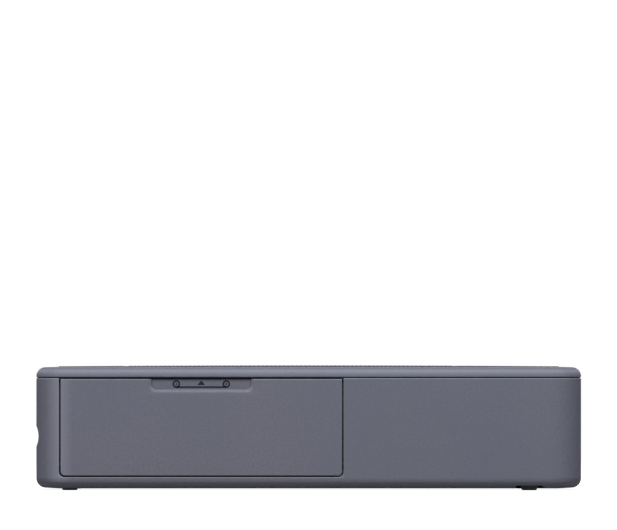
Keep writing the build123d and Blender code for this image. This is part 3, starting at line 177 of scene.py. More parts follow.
def finish(name, paint, **constants):
    """Material whose paint function takes a place on the piece and returns what varies there."""
    material = bpy.data.materials.new(name)
    material.use_nodes = True
    tree = material.node_tree
    tree.nodes.clear()
    output = tree.nodes.new("ShaderNodeOutputMaterial")
    shader = tree.nodes.new("ShaderNodeBsdfPrincipled")
    tree.links.new(shader.outputs["BSDF"], output.inputs["Surface"])
    for socket, value in constants.items():
        shader.inputs[socket.replace("_", " ")].default_value = value
    place = Flow(tree, tree.nodes.new("ShaderNodeTexCoord").outputs["Object"])
    for socket, value in paint(place).items():
        tree.links.new(value.socket, shader.inputs[socket])
    return material


# Finishes
slate_warm = linear(108, 105, 118)
slate_cool = linear(97, 102, 114)
# Pale slate for wear and for painted highlights
slate_wear_and_highlight = linear(136, 137, 150)
slate_dusty = linear(92, 93, 104)
# Dark slates for painted shade: on the top, and in gaps, recesses and under the lid
slate_top_shade = linear(70, 71, 81)
slate_deep_shade = linear(26, 26, 30)
edge_width = 0.5 * mm


def moulded_slate(place, edges, sheen=0.0):
    """Fine spark-eroded plastic, a little polished and lighter along its given edges, as wear and painted
    highlight.
    """
    drift = place.noise(70 * mm, 1.0)
    mottle = place.noise(1.1 * mm, 3.0, 0.7)
    grain = place.cells(0.42 * mm)
    fine = place.noise(0.22 * mm, 2.0)
    colour = ((drift - 0.5) * 1.6 + 0.5).clamped().mix(slate_warm, slate_cool)
    colour = ((mottle - 0.5) * 2.4 + 0.3).clamped().mix(colour, slate_dusty)
    scuff = (place.noise(6 * mm, 4.0, 0.65) * 1.5 - 0.25).clamped()
    # Paler along the given edges: wear, and painted highlight where the edges would catch light
    wear_and_highlight = (edges * scuff).clamped()
    colour = (wear_and_highlight * 0.55).mix(colour, slate_wear_and_highlight)
    rough = 0.6 + sheen + place.noise(22 * mm, 3.0) * 0.12 - wear_and_highlight * 0.14 + fine * 0.05
    bump = grain.bump(0.030 * mm, 0.5)
    return {
        "Base Color": colour,
        "Roughness": rough.clamped(),
        "Normal": fine.bump(0.02 * mm, 0.5, under=bump),
    }


def skin_depth(place):
    """How far a place lies behind the upright outer skin."""
    past_x = abs(place.along("X")) - (half_length - corner)
    past_y = abs(place.along("Y")) - (half_depth - corner)
    aside, ahead = past_x.maths("MAXIMUM", past_x, 0.0), past_y.maths("MAXIMUM", past_y, 0.0)
    return corner - aside.maths("SQRT", aside * aside + ahead * ahead)


def gap_shade(place, looks, spared=0.0):
    """Darkens the sides of gaps, slots and holes through the wall, but for what is spared."""
    skin, inner_face, lower_rounding = 0.7 * mm, 2.08 * mm, 5.6 * mm
    depth = skin_depth(place)
    within = depth.above(skin, 0.4 * mm) * (1 - depth.above(inner_face, 0.12 * mm))
    within = within * place.along("Z").above(lower_rounding, 0.5 * mm)
    looks["Base Color"] = (within * (1 - spared) * 0.85).mix(looks["Base Color"], slate_deep_shade)
    return looks


def painted_corner_highlight(place):
    """1 on the upright corners beside the tray end, where a painted highlight lightens the colour."""
    middle, reach, skin = -126.0 * mm, 7.0 * mm, 0.6 * mm
    return place.along("X").near(middle, reach) * skin_depth(place).near(0, skin)


def frame_edges(place, low, high, reach):
    """1 along the edges of an upright opening in the front wall."""
    x, y, z = (place.along(axis) for axis in "XYZ")
    middle, half = (low.x + high.x) / 2, (high.x - low.x) / 2
    front_skin = -half_depth + corner * 0.4
    aside = abs(x - middle)
    sides = aside.near(half, reach) * z.above(low.z - reach, reach)
    sill = z.near(low.z, reach) * (1 - aside.above(half + reach, reach))
    return (sides + sill) * (1 - y.above(front_skin, mm))


def case_paint(place):
    """Slate plastic, paler round the door's opening and along its rim as wear and painted highlight, paler
    along its lower rounding, with a painted highlight on the corners beside the tray end and painted shade
    in its gaps.
    """
    z = place.along("Z")
    gap = Vector((door_gap, 0, door_gap))
    rim, rounding = z.near(case_rim - 0.2 * mm, edge_width), z.near(4.0 * mm, 2.2 * mm)
    edges = rim + rounding * 0.35
    edges = edges + frame_edges(place, door_low - gap, door_high + gap, edge_width)
    looks = moulded_slate(place, edges)
    # Paler along the lower rounding, and a painted highlight on the corners beside the tray end
    lower = z.near(3.0 * mm, 2.6 * mm)
    paler_with_painted_highlight = painted_corner_highlight(place) * 0.5 + lower * 0.55
    looks["Base Color"] = paler_with_painted_highlight.mix(looks["Base Color"], slate_wear_and_highlight)
    return gap_shade(place, looks)


def door_paint(place):
    """Slate plastic, with painted shade in the thumb recess along the foot of its walls and under the lid,
    a painted highlight on the corner beside the tray end, and edges paler as wear and painted highlight.
    """
    thumb_reach, bevel_outer = 28.0 * mm, 49.4 * mm
    recess_reach, recess_low, recess_high = 27.1 * mm, 49.3 * mm, 55.9 * mm
    side_foot, sill_foot, lid_shadow, floor_depth = 25.2 * mm, 50.9 * mm, 55.0 * mm, 0.8 * mm
    aside, z = abs(place.along("X") - recess_middle), place.along("Z")
    edges = frame_edges(place, door_low, door_high, edge_width)
    edges = edges + z.near(door_high.z - 0.2 * mm, edge_width)
    # The recess's lower bevel is paler: painted highlight
    edges = edges + (1 - aside.above(thumb_reach, 6 * mm)) * z.near(bevel_outer, 1.6 * mm) * 0.4
    recess = (1 - aside.above(recess_reach, 0.4 * mm)) * z.above(recess_low, 0.4 * mm)
    recess = recess * (1 - z.above(recess_high, 0.3 * mm))
    looks = moulded_slate(place, edges)
    # Painted highlight on the corner beside the tray end
    looks["Base Color"] = (painted_corner_highlight(place) * 0.45).mix(looks["Base Color"], slate_wear_and_highlight)
    sunk = skin_depth(place).above(floor_depth, 0.3 * mm) * recess
    # Painted shade in the recess: along the foot of its walls, under the lid, and a little over its whole
    # floor
    dust_and_shade = aside.near(side_foot, 0.8 * mm) + z.near(sill_foot, 0.5 * mm) * 0.6
    dust_and_shade = (dust_and_shade * 0.65 + z.above(lid_shadow, 1.6 * mm) * 0.3 + 0.07).clamped() * sunk
    looks["Base Color"] = dust_and_shade.mix(looks["Base Color"], slate_deep_shade)
    return gap_shade(place, looks, recess)


def tray_door_paint(place):
    """Slate plastic, paler along the edges of the door as wear and painted highlight."""
    y, z = place.along("Y"), place.along("Z")
    sides = abs(y).near(tray_high.y - 0.2 * mm, edge_width)
    sill = z.near(tray_low.z + 0.2 * mm, edge_width)
    edges = sides + sill + z.near(tray_high.z - 0.3 * mm, 0.8 * mm)
    return gap_shade(place, moulded_slate(place, edges))


def cover_paint(place):
    """Slate plastic, with a painted highlight on the lid's shoulder, painted shade on its top and
    underside, and its edges paler as wear and painted highlight.
    """
    straight_x, straight_y, step_level, step_width = 120.0 * mm, 64.0 * mm, 62.0 * mm, 0.6 * mm
    shoulder_level, shoulder_end, crest_level = 60.4 * mm, 128.0 * mm, 60.9 * mm
    x, y, z = abs(place.along("X")), abs(place.along("Y")), place.along("Z")
    ends = x.near(panel_half_length, step_width) * (1 - y.above(straight_y, 4 * mm))
    step = ends + y.near(panel_half_depth, step_width) * (1 - x.above(straight_x, 4 * mm))
    # Lid's lower edge and the panel's step: paler as wear and painted highlight
    edges = z.near(lid_bottom + 0.2 * mm, 0.4 * mm) + step * 0.8 * z.above(step_level, 0.3 * mm)
    # Painted highlight on the lid's shoulder
    shoulder_highlight = z.near(shoulder_level, 2.8 * mm) * (1 - x.above(shoulder_end, 4 * mm) * 0.5)
    # Painted shade over the top
    top_shade = z.above(crest_level, 1.4 * mm)
    looks = moulded_slate(place, edges, sheen=-0.06)
    looks["Base Color"] = (shoulder_highlight * 0.34).mix(looks["Base Color"], slate_wear_and_highlight)
    looks["Base Color"] = (top_shade * 0.74).mix(looks["Base Color"], slate_top_shade)
    # Painted shade on the underside, in the groove under the lid
    under = 1 - z.above(lid_bottom - 0.02 * mm, 0.04 * mm)
    looks["Base Color"] = (under * 0.9).mix(looks["Base Color"], slate_deep_shade)
    return looks


def inlay_paint(place):
    """Dot tops paler than the sheet that they stand on: a painted highlight on the tops, and painted shade
    between them and over the whole inlay.
    """
    dot_flank = 0.03 * mm
    share = place.along("X") / half_length
    height = place.along("Z") - panel_end_level - panel_crown * (1 - share * share)
    tops = height.above(dot_flank, 0.09 * mm)
    # Painted highlight on the dot tops
    paler_with_painted_highlight = tops * (0.35 + place.noise(45 * mm, 2.0) * 0.5)
    looks = moulded_slate(place, paler_with_painted_highlight + abs(place.along("Y")).near(panel_half_depth, edge_width))
    # Painted shade: the whole inlay darker, most between the dots
    looks["Base Color"] = (0.72 - tops * 0.42).mix(looks["Base Color"], slate_top_shade)
    return looks


def button_paint(place):
    """Slate plastic, a little polished on the face that is pressed."""
    return moulded_slate(place, place.along("X").near(-half_length, 0.6 * mm), sheen=-0.12)


def rubber_paint(dark, pale):
    """Matt rubber, or a matt coating, with pale dust."""

    def paint(place):
        dust_and_shade = (place.noise(2.5 * mm, 4.0, 0.7) * 1.4 - 0.35).clamped()
        return {
            "Base Color": dust_and_shade.mix(dark, pale),
            "Roughness": 0.78 + dust_and_shade * 0.16,
            "Normal": place.noise(0.3 * mm, 3.0).bump(0.04 * mm, 0.6),
        }

    return paint


def zinc_paint(place):
    """Plated sheet: fine rolling lines with cloudy spangle."""
    cloud = place.noise(9 * mm, 3.0, 0.6)
    lines = place.stretched(1, 1, 14).noise(5 * mm, 3.0, 0.6)
    return {
        "Base Color": (cloud * 0.6 + lines * 0.4).mix(linear(176, 179, 182), linear(208, 209, 208)),
        "Roughness": 0.30 + cloud * 0.14 + lines * 0.08,
        "Normal": lines.bump(0.01 * mm, 0.5),
    }


def steel_paint(turning):
    """Ground bright steel, with fine rings round the given axis."""

    def paint(place):
        squeeze = [30 if axis == turning else 1 for axis in "XYZ"]
        rings = place.stretched(*squeeze).noise(4 * mm, 2.0)
        smear = place.noise(12 * mm, 3.0)
        return {
            "Base Color": smear.mix(linear(188, 189, 191), linear(214, 214, 214)),
            "Roughness": 0.16 + rings * 0.12 + smear * 0.08,
            "Normal": rings.bump(0.006 * mm, 0.5),
        }

    return paint


def plain_moulding(dark, pale, rough):
    """Plain moulded plastic with flow marks and a fine grain."""

    def paint(place):
        flow = place.stretched(1, 0.35, 1).noise(14 * mm, 3.0, 0.6)
        fine = place.noise(0.35 * mm, 3.0)
        return {
            "Base Color": (flow * 0.7 + fine * 0.3).mix(dark, pale),
            "Roughness": rough + flow * 0.12,
            "Normal": fine.bump(0.015 * mm, 0.5),
        }

    return paint


def screw_paint(place):
    """Blackened steel, worn bright in places."""
    worn = (place.noise(0.8 * mm, 3.0) * 2.2 - 0.9).clamped()
    return {
        "Base Color": worn.mix(linear(58, 58, 60), linear(120, 120, 120)),
        "Roughness": 0.42 - worn * 0.12,
        "Normal": place.noise(0.4 * mm).bump(0.01 * mm, 0.5),
    }


def brass_paint(place):
    """Turned brass with tarnish."""
    tarnish = (place.noise(1.6 * mm, 4.0, 0.6) * 1.5 - 0.3).clamped()
    return {
        "Base Color": tarnish.mix(linear(222, 190, 122), linear(170, 136, 78)),
        "Roughness": 0.24 + tarnish * 0.2,
        "Normal": place.noise(0.3 * mm).bump(0.008 * mm, 0.5),
    }


def ribbon_paint(place):
    """Dyed film: dark wound edges, and faint yellow, magenta and cyan bands in turn."""
    turns_per_metre = 45
    wraps = place.stretched(1, 0.02, 1).noise(0.25 * mm, 2.0)
    bands = place.maths("FRACT", place.along("X") * turns_per_metre)
    tint = bands.node(
        "ShaderNodeValToRGB",
        {"stops": [(0.0, linear(116, 92, 22)), (0.33, linear(104, 24, 66)), (0.66, linear(24, 62, 104))]},
        {0: bands},
    )
    return {
        "Base Color": (wraps * 0.8).mix(tint, linear(38, 20, 40)),
        "Roughness": 0.18 + wraps * 0.2,
        "Normal": wraps.bump(0.02 * mm, 0.5),
    }


def aluminium_paint(place):
    """Extruded bar, with die lines along its length."""
    lines = place.stretched(22, 1, 22).noise(6 * mm, 3.0)
    return {
        "Base Color": lines.mix(linear(188, 190, 192), linear(214, 215, 216)),
        "Roughness": 0.3 + lines * 0.16,
        "Normal": lines.bump(0.012 * mm, 0.5),
    }


def ceramic_paint(place):
    """Glazed strip with the dark heater line under the bead."""
    heater = place.along("X").near(print_line, 1.2 * mm)
    cloud = place.noise(5 * mm, 2.0)
    glaze = cloud.mix(linear(226, 220, 204), linear(208, 202, 188))
    return {
        "Base Color": heater.mix(glaze, linear(70, 60, 54)),
        "Roughness": 0.12 + cloud * 0.1,
        "Normal": cloud.bump(0.01 * mm, 0.3),
    }


mask_green = linear(14, 66, 36)
pad_tin = linear(190, 186, 160)


def board_paint(place):
    """Solder mask over copper tracks, with black chips and blue-grey cans above the board."""
    board_top, chip_top = 9.95 * mm, 12.2 * mm
    z = place.along("Z")
    tracks = place.stretched(1, 3, 1).cells(5 * mm, "DISTANCE_TO_EDGE").near(0.12, 0.05)
    mask = tracks.mix(mask_green, linear(32, 104, 60))
    pads = place.cells(3.1 * mm).near(0, 0.16)
    mask = pads.mix(mask, pad_tin)
    chips = z.above(board_top, 0.1 * mm)
    parts = z.above(chip_top, 0.1 * mm).mix(linear(26, 26, 28), linear(40, 42, 52))
    return {
        "Base Color": chips.mix(mask, parts),
        "Roughness": 0.34 + place.noise(4 * mm, 3.0) * 0.12 + chips * 0.1,
        "Normal": tracks.bump(0.03 * mm, 0.6),
    }


def button_board_paint(place):
    """Solder mask with tinned dots, and the black switch behind the power button."""
    switch_middle = -125.4 * mm
    dots = place.cells(2.4 * mm).near(0, 0.2)
    switch = place.along("X").near(switch_middle, 2.2 * mm)
    return {
        "Base Color": (1 - switch).mix(linear(30, 30, 32), dots.mix(mask_green, pad_tin)),
        "Roughness": 0.36 + place.noise(4 * mm, 3.0) * 0.12,
        "Normal": dots.bump(0.03 * mm, 0.5),
    }


def lamp_paint(place):
    """Clear plastic with a faint haze."""
    haze = place.noise(1.2 * mm, 3.0)
    return {
        "Base Color": haze.mix(linear(196, 206, 214), linear(226, 232, 236)),
        "Roughness": 0.12 + haze * 0.1,
        "Normal": haze.bump(0.01 * mm, 0.3),
    }


def ink_paint(place):
    """Dark printing ink, faintly flecked."""
    fleck = place.noise(0.5 * mm, 3.0)
    return {
        "Base Color": fleck.mix(linear(20, 21, 28), linear(32, 33, 41)),
        "Roughness": 0.42 + fleck * 0.12,
        "Normal": fleck.bump(0.01 * mm, 0.4),
    }


low_gloss = {"Specular_IOR_Level": 0.02}
finishes = {
    "lower_case": finish("case_slate_plastic", case_paint, **low_gloss),
    "cassette_door": finish("door_slate_plastic", door_paint, **low_gloss),
    "tray_door": finish("tray_door_slate_plastic", tray_door_paint, **low_gloss),
    "top_cover": finish("cover_slate_plastic", cover_paint, **low_gloss),
    "power_button": finish("button_slate_plastic", button_paint, **low_gloss),
    "rubber_feet": finish("foot_rubber", rubber_paint(linear(38, 38, 42), linear(66, 66, 72))),
    "main_board": finish("printed_board", board_paint),
    "button_board": finish("button_printed_board", button_board_paint),
    "thermal_head": finish("head_ceramic", ceramic_paint, Coat_Weight=0.4),
    "heat_sink": finish("sink_aluminium", aluminium_paint, Metallic=1.0),
    "light_guide": finish("lamp_clear_plastic", lamp_paint, Transmission_Weight=0.6, IOR=1.49),
    "pinch_roller": finish("pinch_ground_steel", steel_paint("Y"), Metallic=1.0),
    "usb_port": finish("port_plated_steel", steel_paint("X"), Metallic=1.0),
    "dc_jack": finish("jack_black_plastic", plain_moulding(linear(24, 24, 26), linear(36, 36, 38), 0.42)),
    "head_springs": finish("spring_steel", steel_paint("Y"), Metallic=1.0),
}
shared = [
    (finish("roller_rubber", rubber_paint(linear(44, 44, 47), linear(62, 62, 66))),
     ["platen_rubber", "pickup_tyres"]),
    (finish("zinc_sheet", zinc_paint, Metallic=1.0),
     ["front_side_plate", "rear_side_plate", "entry_cross_bar", "exit_cross_bar", "head_arm",
      "feed_motor", "cam_motor"]),
    (finish("ground_steel", steel_paint("Y"), Metallic=1.0),
     ["platen_shaft", "capstan_roller", "pickup_shaft", "head_pivot", "cam_shaft", "gear_studs"]),
    (finish("blackened_screw", screw_paint, Metallic=0.9), ["case_screws", "chassis_screws"]),
    (finish("blackened_pin", rubber_paint(linear(14, 14, 16), linear(30, 30, 33))), ["hinge_pins"]),
    (finish("bush_plastic", plain_moulding(linear(40, 40, 42), linear(54, 54, 56), 0.4)),
     ["roller_bushes"]),
    (finish("gear_natural_plastic", plain_moulding(linear(206, 202, 190), linear(226, 223, 213), 0.36)),
     ["platen_gear", "capstan_gear", "pickup_gear", "takeup_idler", "capstan_idler", "feed_idler",
      "pickup_idler", "takeup_gear", "cam_gear"]),
    (finish("pinion_brass", brass_paint, Metallic=1.0), ["feed_pinion", "cam_pinion"]),
    (finish("guide_black_plastic", plain_moulding(linear(34, 34, 36), linear(46, 46, 49), 0.38)),
     ["feed_ramp", "centre_guide", "lower_paper_guide", "upper_paper_guide"]),
    (finish("cassette_plastic", plain_moulding(linear(46, 47, 52), linear(62, 63, 69), 0.46)),
     ["cassette_shell", "supply_spindle", "takeup_spindle"]),
    (finish("core_pale_plastic", plain_moulding(linear(206, 206, 202), linear(224, 224, 221), 0.4)),
     ["supply_core", "takeup_core"]),
    (finish("ribbon_film", ribbon_paint), ["supply_ribbon", "takeup_ribbon", "ribbon_web"]),
    (finish("fan_black_plastic", plain_moulding(linear(26, 26, 28), linear(38, 38, 41), 0.36)),
     ["fan_frame", "fan_rotor"]),
]
for material, names in shared:
    for name in names:
        finishes[name] = material
for name, material in finishes.items():
    slots = nodes[name].data.materials
    slots.clear()
    slots.append(material)
inlay_plastic = finish("inlay_slate_plastic", inlay_paint, **low_gloss)
mark_ink = finish("mark_ink", ink_paint, Specular_IOR_Level=0.1)
# Near-black for painted shadow behind the door's gaps
shadow_plastic = finish("ledge_painted_shadow", plain_moulding(linear(16, 16, 18), linear(26, 26, 28), 0.7))


# Making pieces
def everything(shape):
    return list(shape.verts) + list(shape.edges) + list(shape.faces)


def verts_of(parts):
    return [part for part in parts if isinstance(part, bmesh.types.BMVert)]


def edges_of(verts):
    return {edge for vert in verts for edge in vert.link_edges}


def repeat(shape, parts, offset):
    """Adds a copy of some parts of a shape, moved by the offset."""
    copy = bmesh.ops.duplicate(shape, geom=parts)["geom"]
    bmesh.ops.translate(shape, verts=verts_of(copy), vec=offset)


def add_box(shape, low, high):
    """Box between two corners. Returns its vertices."""
    low, high = Vector(low), Vector(high)
    place = Matrix.Translation((high + low) / 2) @ Matrix.Diagonal((*(high - low), 1))
    return bmesh.ops.create_cube(shape, size=1, matrix=place)["verts"]


def round_edges(shape, edges, radius, segments):
    bmesh.ops.bevel(
        shape, geom=edges, offset=radius, segments=segments, profile=0.5, affect="EDGES", material=-1
    )


def add_bar(shape, low, high, radius):
    """Box between two corners, with its edges rounded."""
    round_edges(shape, list(edges_of(add_box(shape, low, high))), radius, 2)


def add_ring(shape, matrix, outer, inner, depth, steps=40):
    """Flat ring that faces along the matrix's Z, raised by depth."""
    rims = [
        bmesh.ops.create_circle(shape, segments=steps, radius=radius, matrix=matrix)["verts"]
        for radius in (outer, inner)
    ]
    edges = [edge for rim in rims for edge in edges_of(rim)]
    faces = bmesh.ops.bridge_loops(shape, edges=edges)["faces"]
    raised = bmesh.ops.extrude_face_region(shape, geom=faces)["geom"]
    bmesh.ops.translate(shape, verts=verts_of(raised), vec=matrix.to_3x3() @ Vector((0, 0, depth)))


def piece(name, shape, material, body, smooth=35):
    """Object from a finished bmesh, riding on a body. Turns of more than smooth degrees stay sharp."""
    bmesh.ops.recalc_face_normals(shape, faces=shape.faces)
    mesh = bpy.data.meshes.new(name)
    shape.to_mesh(mesh)
    shape.free()
    mesh.shade_smooth()
    mesh.set_sharp_from_angle(angle=math.radians(smooth))
    mesh.materials.append(material)
    made = bpy.data.objects.new(name, mesh)
    bpy.context.scene.collection.objects.link(made)
    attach(made, body)
    return made


# Textured inlay of the cover
def panel_level(x):
    """Height of the crowned panel at a place along X."""
    return panel_end_level + panel_crown * (1 - (x / half_length) ** 2)


def textured_inlay():
    """Sheet with staggered rows of low round dots, bent to the panel's crown."""
    sheet, sink, rise = 0.3 * mm, -0.1 * mm, 0.09 * mm
    pitch, row_pitch, dot_radius = 4.3 * mm, 3.7 * mm, 1.02 * mm
    length = inlay_high.x - inlay_low.x
    depth = inlay_high.y - inlay_low.y
    middle = (inlay_high.x + inlay_low.x) / 2
    shape = bmesh.new()
    bmesh.ops.create_grid(
        shape, x_segments=56, y_segments=4, size=0.5, matrix=Matrix.Diagonal((length, depth, 1, 1))
    )
    bmesh.ops.solidify(shape, geom=list(shape.faces), thickness=sheet)
    top = max(vert.co.z for vert in shape.verts)
    bmesh.ops.translate(shape, verts=shape.verts, vec=(0, 0, sink - top))
    dots = bmesh.new()
    bmesh.ops.create_uvsphere(dots, u_segments=10, v_segments=6, radius=1)
    bmesh.ops.bisect_plane(
        dots, geom=everything(dots), plane_co=(0, 0, -0.02), plane_no=(0, 0, -1), clear_outer=True
    )
    bmesh.ops.scale(dots, verts=dots.verts, vec=(dot_radius, dot_radius, rise - sink))
    columns = int((length - 2 * dot_radius) / pitch)
    rows = int((depth - 2 * dot_radius) / row_pitch)
    dot = everything(dots)
    for column in range(1, columns):
        repeat(dots, dot, (column * pitch, 0, 0))
    row = everything(dots)
    for index in range(1, rows + 1):
        repeat(dots, row, (index % 2 * pitch / 2, index * row_pitch, 0))
    span = (columns - 0.5) * pitch
    bmesh.ops.translate(dots, verts=dots.verts, vec=(-span / 2, -rows * row_pitch / 2, sink))
    field = bpy.data.meshes.new("dots")
    dots.to_mesh(field)
    dots.free()
    shape.from_mesh(field)
    bpy.data.meshes.remove(field)
    bmesh.ops.translate(shape, verts=shape.verts, vec=(middle, 0, 0))
    for vert in shape.verts:
        vert.co.z += panel_level(vert.co.x)
    made = piece("dotted_inlay", shape, inlay_plastic, "case", smooth=50)
    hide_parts("textured_inlay")


textured_inlay()


# Marks. Ink stands proud of its face, and reaches a little into it.
ink_proud, ink_sunk, ink_round = 0.05 * mm, 0.02 * mm, 0.015 * mm
facing_front = Matrix.Rotation(math.radians(90), 4, "X")
facing_left = Matrix.Rotation(math.radians(-90), 4, "Y")


def cassette_mark():
    """Two spools with the ribbon under them and an arrowhead between, printed in the recess."""
    level, reach, thickness = 53.6 * mm, 12.6 * mm, 0.07 * mm
    outer, inner, hub, ribbon, head = 1.95 * mm, 1.1 * mm, 0.5 * mm, 0.8 * mm, 1.5 * mm
    front, back = recess_back_y - ink_proud, recess_back_y + ink_sunk
    shape = bmesh.new()
    for side in (-1, 1):
        centre = Matrix.Translation((recess_middle + side * reach, back, level)) @ facing_front
        add_ring(shape, centre, outer, inner, thickness)
        add_ring(shape, centre, hub, hub * 0.2, thickness, steps=16)
    left, right = recess_middle - reach, recess_middle + reach
    add_bar(shape, (left, front, level - outer), (right, back, level - outer + ribbon), ink_round)
    tip = Matrix.Translation((recess_middle, (front + back) / 2, level + 0.3 * mm)) @ facing_front
    arrow = bmesh.ops.create_cone(
        shape, cap_ends=True, segments=3, radius1=head, radius2=head, depth=thickness, matrix=tip
    )
    bmesh.ops.scale(
        shape, verts=arrow["verts"], vec=(1.5, 1, 1), space=Matrix.Translation((-recess_middle, 0, 0))
    )
    piece("cassette_mark", shape, mark_ink, "cassette_door")


def power_mark():
    """Ring with a stroke from near its middle to beyond its top, on the button's face."""
    button_low, button_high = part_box("power_button")
    centre = (button_low + button_high) / 2
    front, back = button_low.x - ink_proud, button_low.x + ink_sunk
    outer, inner, thickness = 1.9 * mm, 1.5 * mm, 0.06 * mm
    half_stroke, foot, top = 0.22 * mm, 0.3 * mm, 2.5 * mm
    shape = bmesh.new()
    place = Matrix.Translation((back, centre.y, centre.z))
    add_ring(shape, place @ facing_left, outer, inner, thickness)
    add_bar(
        shape,
        (front, centre.y - half_stroke, centre.z + foot),
        (back, centre.y + half_stroke, centre.z + top),
        ink_round,
    )
    piece("power_mark", shape, mark_ink, "power_button")


cassette_mark()
power_mark()


# Ribs, ledges, grip and label. Corners of bars are given in millimetres.
def bars(name, boxes, material, body):
    """One piece of rounded bars, each given by two corners."""
    shape = bmesh.new()
    for low, high in boxes:
        add_bar(shape, Vector(low) * mm, Vector(high) * mm, 0.12 * mm)
    piece(name, shape, material, body)


def door_ribs():
    """Crossed ribs behind the cassette door, short ribs near its hooks, and the lip in its lower gap."""
    face, back, short_back = -79.45, -77.9, -76.2
    left, right, low, high = -120.0, 11.8, 16.0, 49.0
    half_rib, half_short = 0.45, 0.4
    boxes = [
        ((-121.5, -79.4, 7.7), (13.3, -78.5, 9.0)),
        ((-121.5, -79.05, 6.2), (13.3, -78.5, 8.2)),
    ]
    for x in (-104.0, -87.4, -70.8, -54.1, -37.4, -20.8, -4.2):
        boxes.append(((x - half_rib, face, low), (x + half_rib, back, high)))
    for z in (low, 27.0, 38.0, high):
        boxes.append(((left, face, z - half_rib), (right, back, z + half_rib)))
    for x in (-114.3, -110.9, 2.5, 5.9):
        boxes.append(((x - half_short, face, 44.0), (x + half_short, short_back, 52.0)))
    bars("door_ribs", boxes, finishes["cassette_door"], "cassette_door")


def gap_stops():
    """Narrow ledges behind the cassette door's gaps, on the case and under the lid, near-black as painted
    shadow in the gaps.
    """
    boxes = [
        ((-128.3, -77.9, 16.0), (-123.9, -77.1, 55.6)),
        ((17.7, -79.4, 16.0), (19.4, -78.2, 55.6)),
        ((15.9, -79.0, 16.0), (18.4, -78.2, 55.6)),
    ]
    bars("door_side_ledges", boxes, shadow_plastic, "case")
    boxes = [
        ((-120.0, -79.4, 57.3), (15.0, -78.0, 58.6)),
        ((-122.6, -78.95, 55.1), (16.2, -78.1, 58.2)),
    ]
    bars("lid_ledge", boxes, shadow_plastic, "case")


def cassette_grip():
    """Grip ribs and a raised arrow on the front of the cassette's handle."""
    face, middle = -73.5, -45.0
    proud, sunk, half_rib, half_shaft, first, pitch = 0.45, 0.1, 0.5, 0.7, 9.0, 2.4
    boxes = []
    for index in range(9):
        for side in (-1, 1):
            x = middle + side * (first + index * pitch)
            boxes.append(((x - half_rib, face - proud, 36.8), (x + half_rib, face + sunk, 42.8)))
    boxes.append(((middle - half_shaft, face - proud, 37.2), (middle + half_shaft, face + sunk, 40.6)))
    bars("cassette_grip_ribs", boxes, finishes["cassette_shell"], "case")
    shape = bmesh.new()
    tip = Matrix.Translation((print_line, (face - 0.2) * mm, 41.2 * mm)) @ facing_front
    bmesh.ops.create_cone(
        shape, cap_ends=True, segments=3, radius1=2.6 * mm, radius2=2.4 * mm, depth=0.5 * mm, matrix=tip
    )
    piece("cassette_arrow", shape, finishes["supply_core"], "case")


label_middle = 10.0 * mm


def label_paint(place):
    """Satin foil with a printed border; its field is left bare."""
    border_x, border_y, line = 29.4 * mm, 19.4 * mm, 0.25 * mm
    end_x, end_y = 29.5 * mm, 19.5 * mm
    x, y = abs(place.along("X") - label_middle), abs(place.along("Y"))
    ends = x.near(border_x, line) * (1 - y.above(end_y, 0.1 * mm))
    sides = y.near(border_y, line) * (1 - x.above(end_x, 0.1 * mm))
    haze = place.noise(14 * mm, 3.0)
    foil = haze.mix(linear(150, 152, 156), linear(172, 174, 178))
    return {
        "Base Color": (ends + sides).clamped().mix(foil, linear(60, 61, 66)),
        "Roughness": 0.36 + haze * 0.14,
        "Normal": haze.bump(0.01 * mm, 0.3),
    }


def rating_label():
    """Bare label with rounded corners on the underside."""
    reach_x, reach_y, bottom, top = 31.0 * mm, 20.8 * mm, 0.87 * mm, 0.96 * mm
    low, high = (label_middle - reach_x, -reach_y, bottom), (label_middle + reach_x, reach_y, top)
    shape = bmesh.new()
    verts = add_box(shape, low, high)
    upright = [
        edge for edge in edges_of(verts)
        if abs(edge.verts[0].co.z - edge.verts[1].co.z) > (top - bottom) / 2
    ]
    round_edges(shape, upright, 2.5 * mm, 6)
    piece("rating_label", shape, finish("label_foil", label_paint), "case")


door_ribs()
gap_stops()
cassette_grip()
rating_label()


# Room, light and camera
def seen_rays(tree):
    """1 for what the camera sees, directly, mirrored or through a clear piece, and 0 for other light."""
    outputs = tree.nodes.new("ShaderNodeLightPath").outputs
    kinds = ("Is Camera Ray", "Is Glossy Ray", "Is Transmission Ray")
    straight, mirrored, through = (Flow(tree, outputs[kind]) for kind in kinds)
    return (straight + mirrored + through).clamped()


def stage_material(name, shade, glow):
    """Matt surface that also glows where it is seen, up to white further out."""
    white_distance, white_spread = 0.7, 0.8
    material = bpy.data.materials.new(name)
    material.use_nodes = True
    tree = material.node_tree
    tree.nodes.clear()
    output = tree.nodes.new("ShaderNodeOutputMaterial")
    seen = seen_rays(tree)
    place = Flow(tree, tree.nodes.new("ShaderNodeTexCoord").outputs["Object"])
    distance = place.node("ShaderNodeVectorMath", {"operation": "LENGTH"}, {0: place}, 1)
    far = distance.above(white_distance, white_spread)
    matt = seen.node("ShaderNodeBsdfDiffuse", {}, {"Color": (shade, shade, shade, 1)})
    light = seen.node("ShaderNodeEmission", {}, {"Strength": seen * (glow + far * (1 - glow))})
    both = seen.node("ShaderNodeAddShader", {}, {0: matt, 1: light})
    tree.links.new(both.socket, output.inputs["Surface"])
    return material


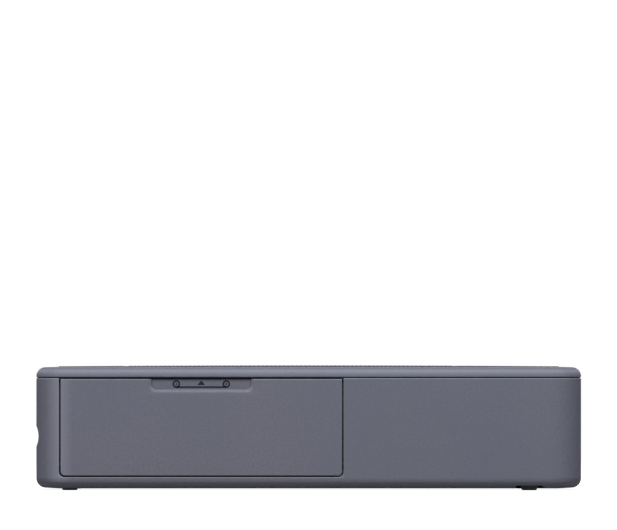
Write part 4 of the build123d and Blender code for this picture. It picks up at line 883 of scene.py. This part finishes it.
def studio_floor(size, shade, glow):
    shape = bmesh.new()
    bmesh.ops.create_grid(shape, x_segments=4, y_segments=4, size=size)
    mesh = bpy.data.meshes.new("floor")
    shape.to_mesh(mesh)
    shape.free()
    mesh.materials.append(stage_material("floor_white", shade, glow))
    made = bpy.data.objects.new("floor", mesh)
    bpy.context.scene.collection.objects.link(made)


def studio_world(fill):
    """White where it is seen, and a plain fill light on the object."""
    world = bpy.data.worlds.new("studio")
    bpy.context.scene.world = world
    world.use_nodes = True
    tree = world.node_tree
    tree.nodes.clear()
    output = tree.nodes.new("ShaderNodeOutputWorld")
    seen = seen_rays(tree)
    strength = seen + (1 - seen) * fill
    sky = seen.node("ShaderNodeBackground", {}, {"Color": (1, 1, 1, 1), "Strength": strength})
    tree.links.new(sky.socket, output.inputs["Surface"])


def soft_lamp(name, place, size, watts):
    """Square lamp that faces the middle of the printer."""
    aim = (0, 0, 0.03)
    data = bpy.data.lights.new(name, "AREA")
    data.shape = "SQUARE"
    data.size = size
    data.energy = watts
    lamp = bpy.data.objects.new(name, data)
    lamp.location = place
    lamp.rotation_euler = (Vector(aim) - Vector(place)).to_track_quat("-Z", "Y").to_euler()
    bpy.context.scene.collection.objects.link(lamp)


def photo_camera():
    """Long lens, level with the printer and tipped up so that it stands low in the picture."""
    lens, sensor, width = 800.0, 36.0, 311.5 * mm
    picture_middle, lens_level = 113.7 * mm, 45 * mm
    front = Vector((-0.1 * mm, corner - half_depth, picture_middle))
    place = Vector((front.x, front.y - width * lens / sensor, lens_level))
    data = bpy.data.cameras.new("photo_camera")
    data.lens = lens
    data.sensor_width = sensor
    data.clip_start, data.clip_end = 0.1, 60
    camera = bpy.data.objects.new("photo_camera", data)
    camera.location = place
    camera.rotation_euler = (front - place).to_track_quat("-Z", "Y").to_euler()
    bpy.context.scene.collection.objects.link(camera)
    bpy.context.scene.camera = camera


studio_floor(size=12, shade=0.20, glow=0.91)
studio_world(fill=0.10)
soft_lamp("key", (-0.34, -1.35, 2.2), 0.9, 65)
soft_lamp("side", (0.32, -1.35, 2.2), 0.9, 47)
soft_lamp("back", (0.0, 1.65, 2.0), 1.0, 32)
for side in (-1, 1):
    soft_lamp("end", (side * 1.38, 1.16, 1.4), 0.8, 13)
photo_camera()
bpy.context.scene.view_settings.view_transform = "Standard"
